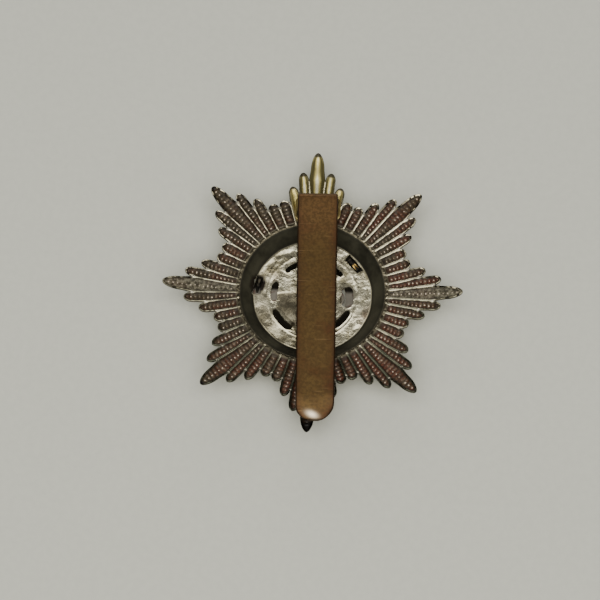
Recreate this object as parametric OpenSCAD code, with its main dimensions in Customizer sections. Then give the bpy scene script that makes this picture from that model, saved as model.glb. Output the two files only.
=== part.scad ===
// Two-metal star cap badge lying on its front, with its reverse and its slider upwards.
// X runs across the badge, +Y towards its top ray, +Z out of the reverse.
// z = 0 is the flat face of the circlet, on which the badge lies.

/* [Star] */
// Distance between opposite tall ray tips
star_d = 46; // [44:0.5:50]
// Thickness of the struck sheet
sheet_t = 0.5; // [0.4:0.05:0.6]
// Slope of the two sides of each ray's trough
trough_slope = 0.33; // [0.2:0.01:0.36]
// How far the top and bottom rays curve back behind the rim
rise_top = 0.75; // [0.4:0.05:1]
// How much further the side rays curve back than the top and bottom ones
rise_extra = 1.45; // [0:0.05:1.8]

/* [Pan] */
// Radius of the pan's rim on the reverse
rim_r = 11.03; // [10.8:0.05:11.2]
// Radius of the pan's flat floor on the reverse
floor_r = 9.19; // [9.1:0.05:9.4]
// Depth of the pan floor below the rim
pan_depth = 2.1; // [1.9:0.05:2.4]
// Radius of the raised line round the pierced middle
step_r = 7.05; // [7:0.05:7.15]

/* [Windows] */
// Inner radius of the pierced arcs
window_r1 = 4.95; // [4.8:0.05:5.1]
// Outer radius of the pierced arcs
window_r2 = 6.5; // [6.3:0.05:6.6]
// Angle that each pierced arc spans
window_angle = 34; // [28:1:37]
// How far the pierced ring was struck off centre across the badge
window_dx = -0.2; // [-0.3:0.05:0.3]
// How far the pierced ring was struck off centre along the badge
window_dy = -0.3; // [-0.3:0.05:0.3]

/* [Circlet] */
// Thickness of the circlet
circlet_t = 0.8; // [0.7:0.05:1]
// Outer radius of the circlet
circlet_r2 = 9.2; // [9:0.05:9.3]
// Inner radius of the circlet
circlet_r1 = 5.15; // [5.1:0.05:5.6]
// Width of each flat border of the circlet
border_w = 0.55; // [0.4:0.05:0.7]
// Thickness of the tangs
tang_t = 0.4; // [0.3:0.05:0.5]

/* [Slider] */
// Width of the slider at its brazed end
slider_w = 6.25; // [5.9:0.05:6.4]
// Width of the slider at its free end
slider_w_end = 5.8; // [5.6:0.05:5.9]
// Thickness of the slider strip
slider_t = 0.75; // [0.65:0.05:0.85]
// Height of the slider's outer face above the pan's rim
slider_h = 3.0; // [2.9:0.05:3.4]
// Place of the folded end along Y
slider_top_y = 15.45; // [15:0.05:15.5]
// Place of the free end along Y
slider_low_y = -21.7; // [-22.2:0.1:-21.2]
// Lean of the slider away from the badge's axis, in degrees
slider_lean = 1.42; // [0:0.02:2]

/* [Hidden] */
$fn = 96;
tip_r = star_d / 2;
floor_front_z = circlet_t;
floor_z = floor_front_z + sheet_t;
rim_z = floor_z + pan_depth;

// Each octant holds a tall ray and three shorter ones on each side of it.
// [tip radius, tip angle, nose length, half width where the nose starts]
tall = [tip_r, 0, 2.7, 1.04];
long = [19.77, 6.46, 1.15, 0.74];
mid = [17.67, 12.38, 1.1, 0.74];
short = [15.73, 19.11, 0.75, 0.74];
// The lines between neighbouring rays: [angle at the rim, notch radius, angle at the notch]
edge_tall = [3.2, 18.5, 3.95];
edge_long = [7.9, 16.5, 9.26];
edge_mid = [15.2, 15.0, 15.5];
edge_short = [22.5, 14.75, 22.5];
root_r = 11.35;
ray_lap = 0.15;
nose_steps = 5;
nose_power = 0.55;
rise_power = 1.3;

band_r = 12.0;
wall_run = rim_r - floor_r;
wall_len = sqrt(wall_run * wall_run + pan_depth * pan_depth);
front_shift = sheet_t * (wall_len / pan_depth - wall_run / pan_depth);
step_w = 0.25;
step_t = 0.08;

slot_w = 1.15;
slot_l = 3.0;
// [radius, angle] of the slots that the circlet's tangs pass through
slots = [[8.26, 42], [8.56, 170], [8.4, 284]];
tang_w = 2.2;
leaf_l = 1.3;
leaf_lift = 0.04;
stub_top = 0.12;

post_y = 2.6;
post_r = 0.6;
post_head_r = 0.85;
post_head_t = 0.1;
post_clear = 0.02;

band_recess = 0.18;
petal_count = 8;
rosette_r = 5.0;
rosette_edge_z = 0.45;
rosette_top_z = 0.28;
petal_ring_r = 3.7;
petal_r = 1.28;
button_r = 1.9;
button_gap = 0.06;

slider_top_x = 0.25;
slider_z = rim_z + slider_h;
fold_r = 1.1;
foot_l = 3.4;
foot_lift = 0.28;
foot_z = rim_z + foot_lift;
free_drop = 0.9;
free_l = 4.0;
free_arc_r = (free_l * free_l + free_drop * free_drop) / (2 * free_drop);
free_arc_angle = asin(free_l / free_arc_r);
top_corner_r = 0.35;
low_corner_r1 = 2.0;
low_corner_r2 = 2.8;
low_bow = 0.2;
arc_steps = 8;

braze_side = 0.3;
braze_top = 0.35;
flood_w = 0.42;

big = 60;

function polar(r, a) = [r * cos(a), r * sin(a)];
function arc(c, r, a1, a2, n) = [for (i = [0 : n]) c + polar(r, a1 + (a2 - a1) * i / n)];

// Height that a tip at radius r and angle a has above the rim
function rise(r, a) =
    pow(max(0, r - rim_r) / (tip_r - rim_r), rise_power) * (rise_top + rise_extra * pow(cos(a), 2));

// Nose of a ray from its lower to its upper side: a flattened ellipse about the tip's direction
function nose(ray) = [
    for (i = [-nose_steps : nose_steps])
        let (f = sin(90 * (1 - abs(i) / nose_steps)), side = i < 0 ? -1 : 1)
        let (across = side * ray[3] * pow(1 - f * f + 1e-9, nose_power))
        let (along = ray[0] - ray[2] * (1 - f))
        [along * cos(ray[1]) - across * sin(ray[1]), along * sin(ray[1]) + across * cos(ray[1])]
];

// Outline of one ray between its two edge lines, which overlap the neighbours by ray_lap degrees
function ray_outline(ray, lo, hi) = concat(
    [polar(root_r, lo[0] - ray_lap), polar(lo[1] - 0.05, lo[2] - ray_lap)],
    nose(ray),
    [polar(hi[1] - 0.05, hi[2] + ray_lap), polar(root_r, hi[0] + ray_lap)]
);

function half_width(lo_a, hi_a, r) = r * sin((hi_a - lo_a) / 2);

// One ray on the +X axis of its octant, turned to the compass angle turn.
// Its sheet is a shallow gutter whose floor line climbs from the rim to the tip.
module ray(ray, lo, hi, turn, flip) {
    a_root = (lo[0] + hi[0]) / 2;
    h_root = half_width(lo[0], hi[0], root_r);
    notch_r = min(lo[1], hi[1]);
    h_notch = half_width(lo[2], hi[2], notch_r);
    a_tip = ray[1];
    rise_tip = rise(ray[0], turn + flip * ray[1]);
    start = polar(root_r, a_root);
    end = polar(ray[0], a_tip);
    run = norm(end - start);
    heading = atan2(end[1] - start[1], end[0] - start[0]);
    depth_root = trough_slope * h_root;
    depth_tip = trough_slope * h_notch;
    climb = rise_tip - depth_tip + depth_root;
    wing = 3;
    gutter = [
        [-wing, wing * trough_slope], [0, 0], [wing, wing * trough_slope],
        [wing, wing * trough_slope - sheet_t], [0, -sheet_t], [-wing, wing * trough_slope - sheet_t]
    ];
    rotate([0, 0, turn]) mirror([0, flip < 0 ? 1 : 0, 0]) intersection() {
        linear_extrude(height = rim_z + 6) polygon(ray_outline(ray, lo, hi));
        translate([start[0], start[1], rim_z - depth_root])
            rotate([0, 0, heading])
                rotate([0, -atan2(climb, run), 0])
                    translate([-2, 0, 0])
                        rotate([90, 0, 90]) linear_extrude(height = run + 6) polygon(gutter);
    }
}

function mirrored(edge) = [-edge[0], edge[1], -edge[2]];

// The tall ray of one octant and the three shorter ones on each side
module octant(turn) {
    ray(tall, mirrored(edge_tall), edge_tall, turn, 1);
    for (flip = [1, -1]) {
        ray(long, edge_tall, edge_long, turn, flip);
        ray(mid, edge_long, edge_mid, turn, flip);
        ray(short, edge_mid, edge_short, turn, flip);
    }
}

// Pan with its rim band, one sheet thickness all through
module pan() {
    rotate_extrude() polygon([
        [0, floor_front_z], [floor_r + front_shift, floor_front_z],
        [rim_r + front_shift, rim_z - sheet_t], [band_r, rim_z - sheet_t],
        [band_r, rim_z], [rim_r, rim_z], [floor_r, floor_z], [0, floor_z]
    ]);
    rotate_extrude() polygon([
        [step_r - step_w / 2, floor_z - sheet_t / 2], [step_r + step_w / 2, floor_z - sheet_t / 2],
        [step_r + step_w / 2, floor_z + step_t], [step_r - step_w / 2, floor_z + step_t]
    ]);
}

module window(turn) {
    translate([window_dx, window_dy, 0]) rotate([0, 0, turn - window_angle / 2])
        rotate_extrude(angle = window_angle)
            translate([window_r1, floor_front_z - 1]) square([window_r2 - window_r1, sheet_t + 2]);
}

module slot(place, w, l) {
    rotate([0, 0, place[1]]) translate([place[0], 0, floor_z]) cube([w, l, 3 * sheet_t], center = true);
}

module star_plate() {
    color("#8a8168") difference() {
        union() {
            for (turn = [0 : 45 : 315]) octant(turn);
            pan();
        }
        for (turn = [0 : 45 : 315]) window(turn);
        for (place = slots) slot(place, slot_w, slot_l);
        for (side = [-1, 1]) translate([0, side * post_y, 0]) cylinder(r = post_r + post_clear, h = rim_z);
    }
}

// Flat ring with two raised borders and a plain sunk band between them
module circlet() {
    color("#a98a52") rotate_extrude() polygon([
        [circlet_r1, 0], [circlet_r1 + border_w, 0], [circlet_r1 + border_w, band_recess],
        [circlet_r2 - border_w, band_recess], [circlet_r2 - border_w, 0], [circlet_r2, 0],
        [circlet_r2, circlet_t], [circlet_r1, circlet_t]
    ]);
}

// A tang stands on the back of the circlet; a folded one turns inwards onto the pan floor, others are stubs
module tang(place, folded) {
    stem_h = folded ? sheet_t + leaf_lift + tang_t : sheet_t - stub_top;
    rotate([0, 0, place[1]]) {
        translate([place[0] - tang_t / 2, -tang_w / 2, floor_front_z]) cube([tang_t, tang_w, stem_h]);
        if (folded)
            translate([place[0] - leaf_l, -tang_w / 2, floor_z + leaf_lift]) cube([leaf_l, tang_w, tang_t]);
    }
}

module circlet_tangs() {
    color("#8f6f3a") {
        tang(slots[0], false);
        tang(slots[1], false);
        tang(slots[2], true);
    }
}

// Eight-petalled rosette with a round button, seated on the front of the pan floor
module centre_rosette() {
    color("#a98a52") {
        intersection() {
            linear_extrude(height = floor_front_z) union() {
                for (i = [0 : petal_count - 1])
                    rotate([0, 0, i * 360 / petal_count]) translate([petal_ring_r, 0]) circle(r = petal_r);
                circle(r = petal_ring_r);
            }
            rotate_extrude() polygon([
                [0, rosette_top_z], [button_r + 0.3, rosette_top_z], [rosette_r, rosette_edge_z],
                [rosette_r, floor_front_z], [0, floor_front_z]
            ]);
        }
        translate([0, 0, button_gap]) cylinder(r1 = button_r - 0.35, r2 = button_r, h = floor_front_z / 2);
    }
}

// Two stems on the rosette's back, spread flush on the reverse under the slider
module rosette_posts() {
    color("#8f6f3a") for (side = [-1, 1]) translate([0, side * post_y, 0]) {
        translate([0, 0, floor_front_z]) cylinder(r = post_r, h = sheet_t);
        translate([0, 0, floor_z]) cylinder(r1 = post_head_r, r2 = post_head_r - 0.2, h = post_head_t);
    }
}

// Plan outline of the slider, before its lean: square top corners, rounded free end
module slider_plan() {
    w1 = slider_w / 2;
    w2 = slider_w_end / 2;
    polygon(concat(
        arc([w1 - top_corner_r, slider_top_y - top_corner_r], top_corner_r, 0, 90, arc_steps),
        arc([-w1 + top_corner_r, slider_top_y - top_corner_r], top_corner_r, 90, 180, arc_steps),
        arc([-w2 + low_corner_r1, slider_low_y + low_corner_r1 + low_bow], low_corner_r1, 180, 262, arc_steps),
        arc([w2 - low_corner_r2, slider_low_y + low_corner_r2], low_corner_r2, 274, 360, arc_steps)
    ));
}

// Side profile of the strip in (y, z): free end bent down, top end folded back under as a foot
module slider_profile() {
    inner_r = fold_r - slider_t;
    bend_y = slider_low_y + free_l;
    bend_c = [bend_y, slider_z - free_arc_r];
    fold_y = slider_top_y - fold_r;
    polygon(concat(
        arc(bend_c, free_arc_r, 90 + free_arc_angle, 90, arc_steps),
        arc([fold_y, slider_z - fold_r], fold_r, 90, 0, arc_steps),
        arc([fold_y, foot_z + fold_r], fold_r, 0, -90, arc_steps),
        [[slider_top_y - foot_l, foot_z], [slider_top_y - foot_l, foot_z + slider_t]],
        arc([fold_y, foot_z + fold_r], inner_r, -90, 0, arc_steps),
        arc([fold_y, slider_z - fold_r], inner_r, 0, 90, arc_steps),
        arc(bend_c, free_arc_r - slider_t, 90, 90 + free_arc_angle, arc_steps)
    ));
}

// Leans what it holds about the middle of the slider's folded end
module leaned() {
    translate([slider_top_x, slider_top_y, 0]) rotate([0, 0, slider_lean]) translate([0, -slider_top_y, 0])
        children();
}

module slider_solid() {
    leaned() intersection() {
        linear_extrude(height = slider_z + 1) slider_plan();
        rotate([90, 0, 90]) translate([0, 0, -big / 2]) linear_extrude(height = big) slider_profile();
    }
}

module slider() {
    color("#5f4426") slider_solid();
}

// Spelter round the slider's foot: it fills the troughs below and rounds up at the edges
module slider_braze() {
    foot_y1 = slider_top_y - foot_l - braze_side;
    foot_y2 = slider_top_y + braze_side - fold_r;
    half = slider_w / 2 + braze_side;
    color("#b59a55") difference() {
        leaned() rotate([90, 0, 90]) translate([0, 0, -half]) linear_extrude(height = 2 * half) polygon([
            [foot_y1, rim_z - 0.3], [foot_y2 + 0.5, rim_z - 0.3],
            [foot_y2 + 0.5, foot_z], [foot_y2, foot_z + braze_top],
            [foot_y1 + braze_side, foot_z + braze_top], [foot_y1, foot_z - 0.1]
        ]);
        octant(90);
        pan();
        slider_solid();
    }
}

// Spelter that ran out along the floors of the five top troughs
module flood_in(ray, lo, hi, flip) {
    a_root = (lo[0] + hi[0]) / 2;
    h_root = half_width(lo[0], hi[0], root_r);
    h_notch = half_width(lo[2], hi[2], min(lo[1], hi[1]));
    start = polar(root_r, a_root);
    end = polar(ray[0], ray[1]);
    run = norm(end - start);
    heading = atan2(end[1] - start[1], end[0] - start[0]);
    depth_root = trough_slope * h_root;
    climb = rise(ray[0], 90 + flip * ray[1]) - trough_slope * h_notch + depth_root;
    clear_root = slider_top_y + braze_side - root_r;
    rotate([0, 0, 90]) mirror([0, flip < 0 ? 1 : 0, 0])
        translate([start[0], start[1], rim_z - depth_root])
            rotate([0, 0, heading]) rotate([0, -atan2(climb, run), 0])
                translate([clear_root, 0, 0]) rotate([90, 0, 90])
                    linear_extrude(height = run - clear_root - ray[2] * 0.6)
                        polygon([[0, 0], [flood_w, flood_w * trough_slope], [-flood_w, flood_w * trough_slope]]);
}

module spelter_flood() {
    color("#b59a55") {
        flood_in(tall, mirrored(edge_tall), edge_tall, 1);
        for (flip = [1, -1]) {
            flood_in(long, edge_tall, edge_long, flip);
            flood_in(mid, edge_long, edge_mid, flip);
        }
    }
}

star_plate();
circlet();
circlet_tangs();
centre_rosette();
rosette_posts();
slider();
slider_braze();
spelter_flood();
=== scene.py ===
"""A two-metal star cap badge lying on its front, so that its reverse and its slider are seen.

Each operator makes one piece, or one group of like pieces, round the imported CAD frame.
Inside the surface functions lengths are in millimetres; put_mesh turns them into metres.
"""

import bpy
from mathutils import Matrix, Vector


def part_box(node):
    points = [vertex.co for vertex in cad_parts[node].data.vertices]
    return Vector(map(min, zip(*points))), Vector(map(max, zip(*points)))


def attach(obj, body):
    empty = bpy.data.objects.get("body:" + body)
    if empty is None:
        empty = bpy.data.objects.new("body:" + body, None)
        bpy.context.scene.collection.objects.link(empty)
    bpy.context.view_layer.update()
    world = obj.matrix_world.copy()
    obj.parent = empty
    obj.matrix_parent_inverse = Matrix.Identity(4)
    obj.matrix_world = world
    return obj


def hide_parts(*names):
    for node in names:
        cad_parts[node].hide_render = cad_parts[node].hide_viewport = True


bl_info = {
    "name": "Star Cap Badge",
    "version": (1, 0, 0),
    "blender": (4, 5, 0),
    "location": "3D View > Sidebar > Badge",
    "description": "Makes the struck star, centre, slider and brazing of a cap badge",
    "category": "Add Mesh",
}

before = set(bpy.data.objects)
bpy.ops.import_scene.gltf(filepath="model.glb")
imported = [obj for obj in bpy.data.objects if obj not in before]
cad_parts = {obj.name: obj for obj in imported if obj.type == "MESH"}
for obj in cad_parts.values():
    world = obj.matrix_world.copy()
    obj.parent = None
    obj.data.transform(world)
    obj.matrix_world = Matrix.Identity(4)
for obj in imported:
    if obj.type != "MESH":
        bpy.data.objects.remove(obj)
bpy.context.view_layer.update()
import math

import bpy
import numpy as np
from bpy.props import FloatProperty, FloatVectorProperty, IntProperty, PointerProperty
from mathutils import Vector

MM = 0.001
ROOT = "root"

# Levels of the CAD frame, in millimetres
CIRCLET_BACK_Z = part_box("circlet")[1].z / MM
SHEET_T = 0.5
PAN_DEPTH = 2.1
FLOOR_Z = CIRCLET_BACK_Z + SHEET_T
RIM_Z = FLOOR_Z + PAN_DEPTH
SLIDER_TOP_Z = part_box("slider")[1].z / MM
TIP_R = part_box("star_plate")[1].x / MM
# The circlet and the rosette stop just short of the sheet behind them
CENTRE_BACK_Z = CIRCLET_BACK_Z - 0.01

# The slider, upright: its two ends, its curved free end, its fold, its foot, and the gap under the foot
SLIDER_TOP_Y = 15.45
SLIDER_LOW_Y = -21.7
SLIDER_CURVED_END = 4.0
SLIDER_FOLD_R = 1.1
SLIDER_FOOT = 3.4
FOOT_GAP = 0.28
# Then it leans by some degrees about its top edge and shifts sideways
SLIDER_LEAN = 1.42
SLIDER_SHIFT_X = 0.25

# The circlet: inner and outer radius, and width of each roped border
CIRCLET_LOW_R = 5.15
CIRCLET_HIGH_R = 9.2
CIRCLET_BORDER = 0.55

# Radii of the star, in millimetres: step round the disc, edge of the pan's floor, pan's rim,
# ring between rim and rays, roots of the rays, and first bead
STEP_R = 7.0
FLOOR_R = 9.19
RIM_R = 11.03
COLLAR_R = 11.25
ROOT_R = 11.35
FIRST_BEAD_R = 11.95

# A ray: tip radius, tip angle, length of its rounded nose, half width where the nose starts,
# largest half width just past the notch, and the two powers of the nose's curve
TALL = (TIP_R - 0.03, 0.0, 2.7, 1.04, 1.24, 2.0, 0.56)
LONG = (19.77, 6.46, 1.25, 0.76, 0.84, 2.1, 0.58)
MID = (17.67, 12.38, 1.2, 0.76, 0.84, 2.1, 0.58)
SHORT = (15.73, 19.11, 0.8, 0.76, 0.82, 2.1, 0.56)
# A line between two rays: angle at the root, radius of the notch, angle at the notch
EDGE_TALL = (3.2, 18.5, 3.95)
EDGE_LONG = (7.9, 16.5, 9.26)
EDGE_MID = (15.2, 15.0, 15.5)
EDGE_SHORT = (22.5, 14.75, 22.5)
OCTANT = 45.0

# Places across a ray, from its middle to its edge, closer together at the crest
TALL_COLUMNS = (0.0, 0.2, 0.41, 0.62, 0.8, 0.92, 1.0)
OTHER_COLUMNS = (0.0, 0.23, 0.46, 0.68, 0.86, 1.0)
ROW_STEP = 0.12

# Slots of the circlet's tangs: radius, angle, half the angle that each spans
SLOTS = ((8.26, 42.0, 10.8), (8.56, 170.0, 9.4), (8.4, 284.0, 10.3))
# Pierced arcs: middle angle, half the angle spanned, inner radius, outer radius
WINDOWS = (
    (0.0, 18.5, 4.55, 6.35), (50.0, 12.5, 5.15, 5.98), (90.0, 12.0, 5.2, 6.1), (125.0, 13.5, 5.25, 6.12),
    (175.0, 16.0, 5.4, 6.5), (222.5, 19.5, 5.75, 6.85), (270.0, 12.0, 5.5, 6.6), (321.0, 17.5, 5.5, 6.55),
)
# Rings of the pan's grid that follow the arcs and the slots, and those where their pull ends
WINDOW_RINGS = (4.95, 6.5)
SLOT_RINGS = (7.8, 8.75)
PULL_ENDS = (3.0, 7.36, 9.37)
# Half a slot's width, and how far the torn one reaches outwards from its middle
SLOT_HALF = 0.575
TORN_SLOT_OUT = 0.68
# The tangs in the slots: a stub that shows clean brass, one torn off short, and one folded inwards
BRIGHT_SLOT, TORN_SLOT, FOLDED_SLOT = 0, 1, 2

# Dents in the pan's floor: x, y, size, heading
DENTS = ((-6.5, 5.2, 0.75, 50.0), (-4.1, 7.0, 0.7, 20.0), (-5.3, 6.6, 0.5, 35.0), (6.9, -5.2, 0.6, 40.0))
# Painted shade round two of the slots: radius, angle, half its width in millimetres and in degrees
SLOT_SHADE = ((8.6, 169.5, 1.15, 11.5), (8.3, 42.0, 0.55, 11.0))
# Dark tips of rays: x, y, spread. The first, the tall ray's tip under the slider's free end, is the painted
# shadow of the slider.
BLACK_TIPS = (
    (0.2, -22.4, 1.9), (0.1, 23.0, 0.3), (-2.4, 19.6, 0.1),
    (-4.1, 17.3, 0.06), (-16.2, 16.2, 0.16), (-16.1, -16.2, 0.12),
)

# Linear RGB colours of the finer marks. White metal:
CRUMB_PALE = (0.165, 0.140, 0.098)
CRUMB_DARK = (0.020, 0.013, 0.008)
SMOOTH_RAY_DARK = (0.045, 0.042, 0.028)
SMOOTH_RAY_PALE = (0.24, 0.225, 0.165)
GLINT = (0.75, 0.70, 0.58)
NEAR_BLACK = (0.006, 0.005, 0.004)
BAND_DARK = (0.040, 0.032, 0.020)
# Painted glints on the dark band round the rim
BAND_GLINT = (0.22, 0.195, 0.145)
FLOOR_GREY = (0.38, 0.34, 0.215)
FLOOR_BRIGHT = (0.96, 0.91, 0.69)
FLOOR_STREAK = (0.28, 0.24, 0.14)
FLOOR_PIT = (0.07, 0.06, 0.04)
FLOOR_STAIN = (0.24, 0.12, 0.075)
# Painted dark reflection and darker patches on the pan's floor
FLOOR_SHADE = (0.35, 0.31, 0.22)
# Painted highlight along the burrs of the pierced arcs
BURR_HIGHLIGHT = (0.85, 0.80, 0.62)
# Painted shade along the free sides of the spelter-filled rays
SPELTER_EDGE_SHADE = (0.035, 0.030, 0.014)
FRONT_FILM = (0.40, 0.37, 0.28)
FRONT_GROOVE = (0.10, 0.085, 0.06)
# Slider strip
STRIP_GRAIN = (0.085, 0.050, 0.017)
STRIP_UPPER = (0.20, 0.105, 0.042)
STRIP_SPECK = (0.050, 0.029, 0.010)
STRIP_SCRATCH = (0.30, 0.19, 0.085)
# Painted shade along the strip's edges and ends
STRIP_RIM_SHADE = (0.022, 0.010, 0.004)
# Painted highlight near the slider's free end
STRIP_TIP_HIGHLIGHT = (0.80, 0.68, 0.52)
# Gilding metal and brass
GILT_FILM = (0.20, 0.115, 0.045)
GILT_BACK_GREY = (0.20, 0.185, 0.16)
GILT_BACK_RED = (0.10, 0.05, 0.035)
# Painted shade on the backs of the circlet and the rosette
GILT_BACK_SHADE = (0.008, 0.007, 0.005)
# Dark brass of the tangs, nearly black
TANG_DARK = (0.05, 0.042, 0.028)
TANG_BRASS = (0.72, 0.47, 0.14)
STEM_BRASS = (0.34, 0.24, 0.10)
STEM_FILM = (0.12, 0.07, 0.03)
# Spelter
# Painted highlight along the middle of each spelter run, and painted shade to its sides
SPELTER_HIGHLIGHT = (0.80, 0.76, 0.52)
SPELTER_SIDE_SHADE = (0.17, 0.148, 0.058)
SPELTER_DULL_END = (0.10, 0.09, 0.05)
SPELTER_DARK_END = (0.016, 0.014, 0.008)
BRAZE_YELLOW = (0.50, 0.40, 0.17)
BRAZE_FILM = (0.16, 0.12, 0.05)


# ---------------------------------------------------------------- sizes and colours

def length(name, description, default, low, high):
    """A size property in metres."""
    return FloatProperty(name=name, description=description, default=default * MM, min=low * MM,
                         max=high * MM, unit="LENGTH", precision=5)


def colour(name, description, default):
    """A linear RGB colour property."""
    return FloatVectorProperty(name=name, description=description, default=default, size=3,
                               min=0.0, max=1.0, subtype="COLOR")


class StarSettings(bpy.types.PropertyGroup):
    """Sizes of the star plate"""
    bead_depth: length("Bead depth", "Depth of the small beads struck along each ray", 0.13, 0.02, 0.2)
    bead_pitch: length("Bead pitch", "Distance between two beads at the root of a ray", 0.58, 0.4, 1.0)
    trough_slope: FloatProperty(name="Trough slope", default=0.34, min=0.1, max=0.5,
                                description="Depth of a trough as a share of its half width")
    hammering: length("Floor unevenness", "Height of the pan floor's hammered unevenness", 0.07, 0.0, 0.12)


class SliderSettings(bpy.types.PropertyGroup):
    """Sizes of the slider strip"""
    top_width: length("Width at the braze", "Width of the strip at its brazed end", 6.25, 5.6, 6.4)
    end_width: length("Width at the free end", "Width of the strip at its free end", 5.8, 5.0, 5.9)
    thickness: length("Thickness", "Thickness of the strip", 0.75, 0.5, 0.9)
    corner: length("Edge rounding", "Radius of the strip's long edges", 0.28, 0.05, 0.36)


class CentreSettings(bpy.types.PropertyGroup):
    """Counts on the front: rope turns and petals"""
    rope_count: IntProperty(name="Rope turns", description="Turns of the rope round each border",
                            default=96, min=24, max=160)
    petal_count: IntProperty(name="Petals", description="Petals of the rosette", default=8, min=5, max=12)


class MetalColours(bpy.types.PropertyGroup):
    """Main colours of the metals, of the dirt on them, and of the painted shade and painted highlights on
    them
    """
    silver: colour("White metal", "Clean struck white metal", (0.72, 0.66, 0.47))
    soil: colour("Red soil", "Red-brown tarnish in the troughs", (0.090, 0.027, 0.013))
    olive: colour("Olive soil", "Olive-grey tarnish in the troughs", (0.050, 0.038, 0.020))
    # Grey serves as painted shade on the lower crests and as grey tarnish in random patches
    grey: colour("Grey tarnish", "Dull grey-green film on the lower crests", (0.115, 0.12, 0.085))
    # The near-black pits colour is painted shade: between the beads, beside the crests, along the rays' free
    # sides and round two slots
    shade_black: colour("Pits", "Almost black dirt between the beads and in the holes", (0.011, 0.008, 0.005))
    # The pan wall's olive-grey is painted shade on the same white metal as the floor
    wall: colour("Pan wall", "Dull olive-grey wall of the pan", (0.047, 0.045, 0.031))
    # The bright middle of each bead is a painted highlight
    bead_highlight: colour("Bare beads", "Worn bright middle of each bead", (0.62, 0.52, 0.42))
    spelter: colour("Spelter", "Yellow brazing metal", (0.54, 0.455, 0.165))
    strip: colour("Slider strip", "Brown tarnished gilding metal", (0.106, 0.063, 0.0195))
    # Slider red serves the random red patches and also the painted shade towards the strip's edges and fold
    strip_red: colour("Slider red", "Reddish patches on the slider", (0.075, 0.027, 0.009))
    gilding: colour("Gilding metal", "Worn gilding metal of the front", (0.62, 0.40, 0.16))


class StageSettings(bpy.types.PropertyGroup):
    """Floor, camera and light powers"""
    floor: colour("Floor", "Plain pale floor", (0.60, 0.612, 0.552))
    azimuth: FloatProperty(name="Azimuth", description="Camera's turn round the badge", subtype="ANGLE",
                           default=math.radians(2.3))
    elevation: FloatProperty(name="Elevation", description="Camera's height angle", subtype="ANGLE",
                             default=math.radians(68.2))
    distance: FloatProperty(name="Distance", description="Camera's distance", default=0.4, unit="LENGTH")
    lens: FloatProperty(name="Lens", description="Focal length", default=156.5, unit="CAMERA")
    key_power: FloatProperty(name="Key power", description="Power of the overhead softbox", default=8.4,
                             unit="POWER")
    low_power: FloatProperty(name="Low power", description="Power of the low softbox behind", default=1.9,
                             unit="POWER")


# ---------------------------------------------------------------- numbers

def smooth(low, high, x):
    """Smooth step: 0 at low, 1 at high, and a cubic between; it falls instead where high is below low."""
    t = np.clip((x - low) / (high - low), 0.0, 1.0)
    return t * t * (3.0 - 2.0 * t)


def hashed(i, j, seed):
    """A repeatable value from 0 to 1 for each whole-number lattice point."""
    n = np.sin(i * 127.1 + j * 311.7 + seed * 74.7) * 43758.5453
    return n - np.floor(n)


def lattice(x, y, cell, seed):
    """Value noise from -1 to 1: hashed corners of square cells, blended by smooth steps."""
    u, v = x / cell, y / cell
    i, j = np.floor(u), np.floor(v)
    a, b = smooth(0, 1, u - i), smooth(0, 1, v - j)
    low = hashed(i, j, seed) * (1 - a) + hashed(i + 1, j, seed) * a
    high = hashed(i, j + 1, seed) * (1 - a) + hashed(i + 1, j + 1, seed) * a
    return 2.0 * (low * (1 - b) + high * b) - 1.0


def hat(x, low, middle, high):
    """Triangle of height 1 at middle that falls to 0 at low and high."""
    return np.clip(np.minimum((x - low) / (middle - low), (high - x) / (high - middle)), 0.0, 1.0)


def turn_between(a, b):
    """Angle from b to a in degrees, from -180 to 180."""
    return (a - b + 180.0) % 360.0 - 180.0


# ---------------------------------------------------------------- meshes

def put_mesh(name, points, faces, replaced=(), values=None, smooth_angle=35.0):
    """Makes a piece of points in millimetres and lists of face arrays, with point values as attributes."""
    mesh = bpy.data.meshes.new(name)
    loops = np.concatenate([f.ravel() for f in faces])
    sizes = np.concatenate([np.full(len(f), f.shape[1]) for f in faces])
    mesh.vertices.add(len(points))
    mesh.vertices.foreach_set("co", (points * MM).astype(np.float32).ravel())
    mesh.loops.add(len(loops))
    mesh.loops.foreach_set("vertex_index", loops.astype(np.int32))
    mesh.polygons.add(len(sizes))
    mesh.polygons.foreach_set("loop_start", (np.cumsum(sizes) - sizes).astype(np.int32))
    mesh.polygons.foreach_set("loop_total", sizes.astype(np.int32))
    mesh.update(calc_edges=True)
    for key, value in (values or {}).items():
        layer = mesh.attributes.new(key, "FLOAT", "POINT")
        layer.data.foreach_set("value", value.astype(np.float32))
    if mesh.validate():
        raise RuntimeError(f"{name} had broken faces")
    mesh.shade_smooth()
    mesh.set_sharp_from_angle(angle=math.radians(smooth_angle))
    piece = bpy.data.objects.new(name, mesh)
    bpy.context.scene.collection.objects.link(piece)
    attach(piece, ROOT)
    if replaced:
        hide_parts(*replaced)
    return piece


def grid_faces(index, closed_rows=False, closed_columns=False):
    """Quads of a grid of point numbers, going round where a direction is closed."""
    if closed_rows:
        index = np.vstack([index, index[:1]])
    if closed_columns:
        index = np.hstack([index, index[:, :1]])
    a, b, c, d = index[:-1, :-1], index[1:, :-1], index[1:, 1:], index[:-1, 1:]
    return np.stack([a, b, c, d], -1).reshape(-1, 4)


def fan_faces(centre, ring, flip=False):
    """Triangles from one point to a closed ring."""
    after = np.roll(ring, -1)
    tris = np.stack([np.full(len(ring), centre), ring, after], -1)
    return tris[:, ::-1] if flip else tris


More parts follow.
